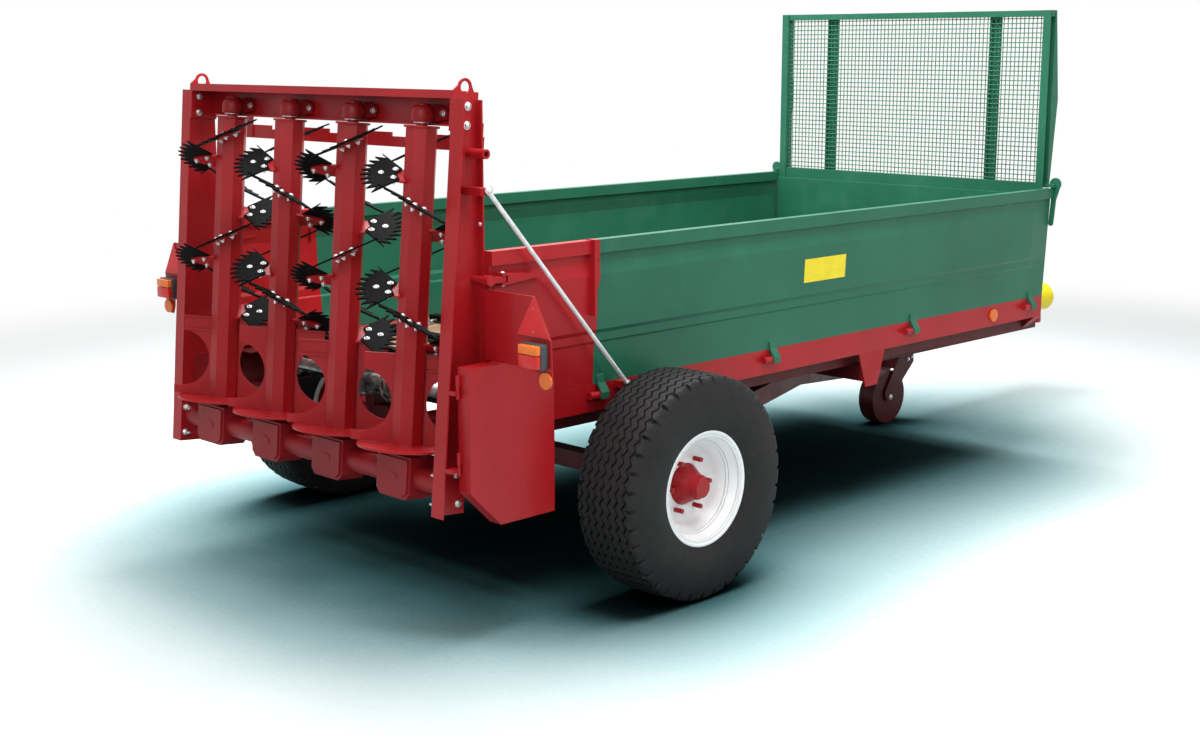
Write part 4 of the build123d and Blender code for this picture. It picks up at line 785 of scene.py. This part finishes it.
BEARING_CAP = [                  # (radius, distance along the beater from its joint)
    (0, 1.1215), (0.0395, 1.1215), (0.0405, 1.128), (0.0405, 1.150), (0.0385, 1.163), (0.033, 1.174),
    (0.024, 1.182), (0.012, 1.186), (0, 1.187),
]
SEAL_RING = [
    (0.0215, 1.1155), (0.030, 1.1155), (0.031, 1.117), (0.031, 1.1205), (0.0215, 1.1205), (0.0215, 1.1155),
]
FLANGE_HALF = (0.080, 0.031)     # half the oval flange's width and height
BOSS_AT = -0.1045                # middle of the boss on a gearcase's rear cover, along the beater
BOSS_HALF = (0.030, 0.017)
BOSS_STEP = (0.86, 0.8)          # the raised middle's share of the boss's width and height


def make_bearings():
    """Rounded cast caps over the bearings with a flange, a seal ring, and a boss on each gearcase."""
    for k, y in enumerate(BEATER_Y):
        bm = bmesh.new()
        place = UNIT @ Matrix.Translation((0, y, 0))
        lathe(bm, BEARING_CAP, place, 32)
        upright = place @ Matrix(((0, 0, 1, 0), (1, 0, 0, 0), (0, 1, 0, BEARING_AT), (0, 0, 0, 1)))
        prism(bm, ellipse(*FLANGE_HALF, 40), 0.041, 0.0537, upright)
        piece(f"bearing_cap_{k + 1}", bm, "chassis", RED_DARK)
        bm = bmesh.new()
        lathe(bm, SEAL_RING, place, 32)
        piece(f"seal_ring_{k + 1}", bm, "chassis", ZINC)
        bm = bmesh.new()
        cover = place @ Matrix(((0, 0, -1, 0), (1, 0, 0, 0), (0, 1, 0, BOSS_AT), (0, 0, 0, 1)))
        boss = ellipse(*BOSS_HALF, 32)
        prism(bm, boss, 0.0618, 0.0632, cover)
        inner = [(x * BOSS_STEP[0], z * BOSS_STEP[1]) for x, z in boss]
        prism(bm, inner, 0.0630, 0.0640, cover)
        piece(f"cover_boss_{k + 1}", bm, "chassis", RED_DARK)


LENS_LENGTH = 49.836
CAMERA_PLACE = (-4.446, -5.0569, 1.9968)
CAMERA_AIM = (0.6964, 0.6915, -0.1919)


def make_camera():
    """The view over the right-hand rear corner."""
    camera = bpy.data.cameras.new("camera")
    camera.lens = LENS_LENGTH
    camera.sensor_width = 36
    obj = bpy.data.objects.new("camera", camera)
    bpy.context.scene.collection.objects.link(obj)
    obj.location = at(*CAMERA_PLACE)
    obj.rotation_euler = Vector(CAMERA_AIM).to_track_quat("-Z", "Y").to_euler()
    bpy.context.scene.camera = obj


FLOOR_REACH = 40
FLOOR_FADE = (3.6, 7.5)          # the floor turns white between these distances
SHADE_REACH = 1.3                # how near a thing has to be to shade the floor
PAINTED_FLOOR_SHADOW = ((0.15, (0.0, 0.012, 0.013, 1)), (0.55, (0.06, 0.15, 0.16, 1)), (0.85, (0.26, 0.37, 0.38, 1)),
               (0.97, (0.50, 0.52, 0.52, 1)))         # painted shadow: how open the floor lies, and the floor colour painted there


def seen_directly(tree, path):
    """1 for a ray from the camera, straight or by way of a reflection or through a clear material."""
    first = path.outputs["Is Camera Ray"]
    for name in ("Is Glossy Ray", "Is Transmission Ray"):
        seen = tree.nodes.new("ShaderNodeMath")
        seen.operation = "MAXIMUM"
        tree.links.new(first, seen.inputs[0])
        tree.links.new(path.outputs[name], seen.inputs[1])
        first = seen.outputs[0]
    return first


def make_stage():
    """A floor with a shadow painted under the machine from its occlusion, that fades to white with distance."""
    data = bpy.data.meshes.new("floor")
    corners = [(x * FLOOR_REACH, y * FLOOR_REACH, 0) for x, y in ((-1, -1), (1, -1), (1, 1), (-1, 1))]
    data.from_pydata(corners, [], [(0, 1, 2, 3)])
    floor = bpy.data.objects.new("floor", data)
    bpy.context.scene.collection.objects.link(floor)
    material = bpy.data.materials.new("studio_floor")
    material.use_nodes = True
    tree = material.node_tree
    tree.nodes.clear()
    output = tree.nodes.new("ShaderNodeOutputMaterial")
    diffuse = tree.nodes.new("ShaderNodeBsdfDiffuse")
    occlusion = tree.nodes.new("ShaderNodeAmbientOcclusion")
    occlusion.samples = 16
    occlusion.inputs["Distance"].default_value = SHADE_REACH
    # Painted shadow: the floor's colour runs from teal-black where the machine shuts it in to pale grey where it
    # lies open.
    tone = tree.nodes.new("ShaderNodeValToRGB")
    while len(tone.color_ramp.elements) < len(PAINTED_FLOOR_SHADOW):
        tone.color_ramp.elements.new(0.5)
    for element, (position, colour) in zip(tone.color_ramp.elements, PAINTED_FLOOR_SHADOW):
        element.position = position
        element.color = colour
    tree.links.new(occlusion.outputs["AO"], tone.inputs["Fac"])
    tree.links.new(tone.outputs["Color"], diffuse.inputs["Color"])
    glow = tree.nodes.new("ShaderNodeEmission")
    glow.inputs["Strength"].default_value = 1.0
    path = tree.nodes.new("ShaderNodeLightPath")
    place = tree.nodes.new("ShaderNodeTexCoord")
    length = tree.nodes.new("ShaderNodeVectorMath")
    length.operation = "LENGTH"
    fade = tree.nodes.new("ShaderNodeMapRange")
    fade.interpolation_type = "SMOOTHSTEP"
    fade.inputs["From Min"].default_value, fade.inputs["From Max"].default_value = FLOOR_FADE
    both = tree.nodes.new("ShaderNodeMath")
    both.operation = "MULTIPLY"
    mix = tree.nodes.new("ShaderNodeMixShader")
    tree.links.new(place.outputs["Object"], length.inputs[0])
    tree.links.new(length.outputs["Value"], fade.inputs["Value"])
    tree.links.new(fade.outputs["Result"], both.inputs[0])
    tree.links.new(seen_directly(tree, path), both.inputs[1])
    tree.links.new(both.outputs[0], mix.inputs["Fac"])
    tree.links.new(diffuse.outputs[0], mix.inputs[1])
    tree.links.new(glow.outputs[0], mix.inputs[2])
    tree.links.new(mix.outputs[0], output.inputs["Surface"])
    data.materials.append(material)


def add_area(name, place, target, size, power, colour=(1, 1, 1)):
    """A rectangular lamp at a place, turned towards a target."""
    light = bpy.data.lights.new(name, "AREA")
    light.shape = "RECTANGLE"
    light.size, light.size_y = size
    light.energy = power
    light.color = colour
    obj = bpy.data.objects.new(name, light)
    bpy.context.scene.collection.objects.link(obj)
    obj.location = place
    obj.rotation_euler = (Vector(target) - Vector(place)).to_track_quat("-Z", "Y").to_euler()
    return obj


def link_to_floor(lights, state):
    """Makes lamps light the floor alone, or all but the floor, so that its shadow stays deep and soft."""
    group = bpy.data.collections.new("floor_" + state.lower())
    group.objects.link(bpy.data.objects["floor"])
    group.collection_objects[0].light_linking.link_state = state
    for lamp in lights:
        lamp.light_linking.receiver_collection = group


AMBIENT = 0.14                   # strength of the even light that the machine gets


def make_lights():
    """An even light, a white background, and lamps overhead, behind, beside and over the box."""
    world = bpy.data.worlds.new("studio")
    bpy.context.scene.world = world
    world.use_nodes = True
    tree = world.node_tree
    ambient = tree.nodes["Background"]
    ambient.inputs["Color"].default_value = (1, 1, 1, 1)
    ambient.inputs["Strength"].default_value = AMBIENT
    white = tree.nodes.new("ShaderNodeBackground")
    white.inputs["Color"].default_value = (1, 1, 1, 1)
    white.inputs["Strength"].default_value = 1.0
    path = tree.nodes.new("ShaderNodeLightPath")
    mix = tree.nodes.new("ShaderNodeMixShader")
    tree.links.new(seen_directly(tree, path), mix.inputs["Fac"])
    tree.links.new(ambient.outputs[0], mix.inputs[1])
    tree.links.new(white.outputs[0], mix.inputs[2])
    tree.links.new(mix.outputs[0], tree.nodes["World Output"].inputs["Surface"])
    overhead = ((-0.5, 0.5, 5.0), (-0.2, 0, 0), (6.0, 5.0))
    add_area("overhead", *overhead, 600)
    wash = add_area("floor_wash", *overhead, 900, (0.97, 1.0, 1.0))
    sides = [add_area("rear_right", (-7.5, -4.0, 4.2), (-0.6, 0, 1.0), (4, 3), 175),
             add_area("right", (0.5, -7.5, 5.4), (0.4, 0, 0.9), (5, 2.5), 160),
             add_area("inside", (-2.6, -3.0, 5.6), (0.3, 0.8, 1.1), (2, 2), 110)]
    link_to_floor([wash], "INCLUDE")
    link_to_floor(sides, "EXCLUDE")


make_camera()
finish_cad_nodes()
make_blade_bolts()
for wheel_side in ("left", "right"):
    make_tyre(wheel_side)
    make_rim(wheel_side)
make_gate_wires()
make_chains()
make_lamps()
make_triangles()
make_sign()
make_frame_bolts()
make_bearings()
make_stage()
make_lights()

bpy.context.scene.view_settings.view_transform = "Standard"
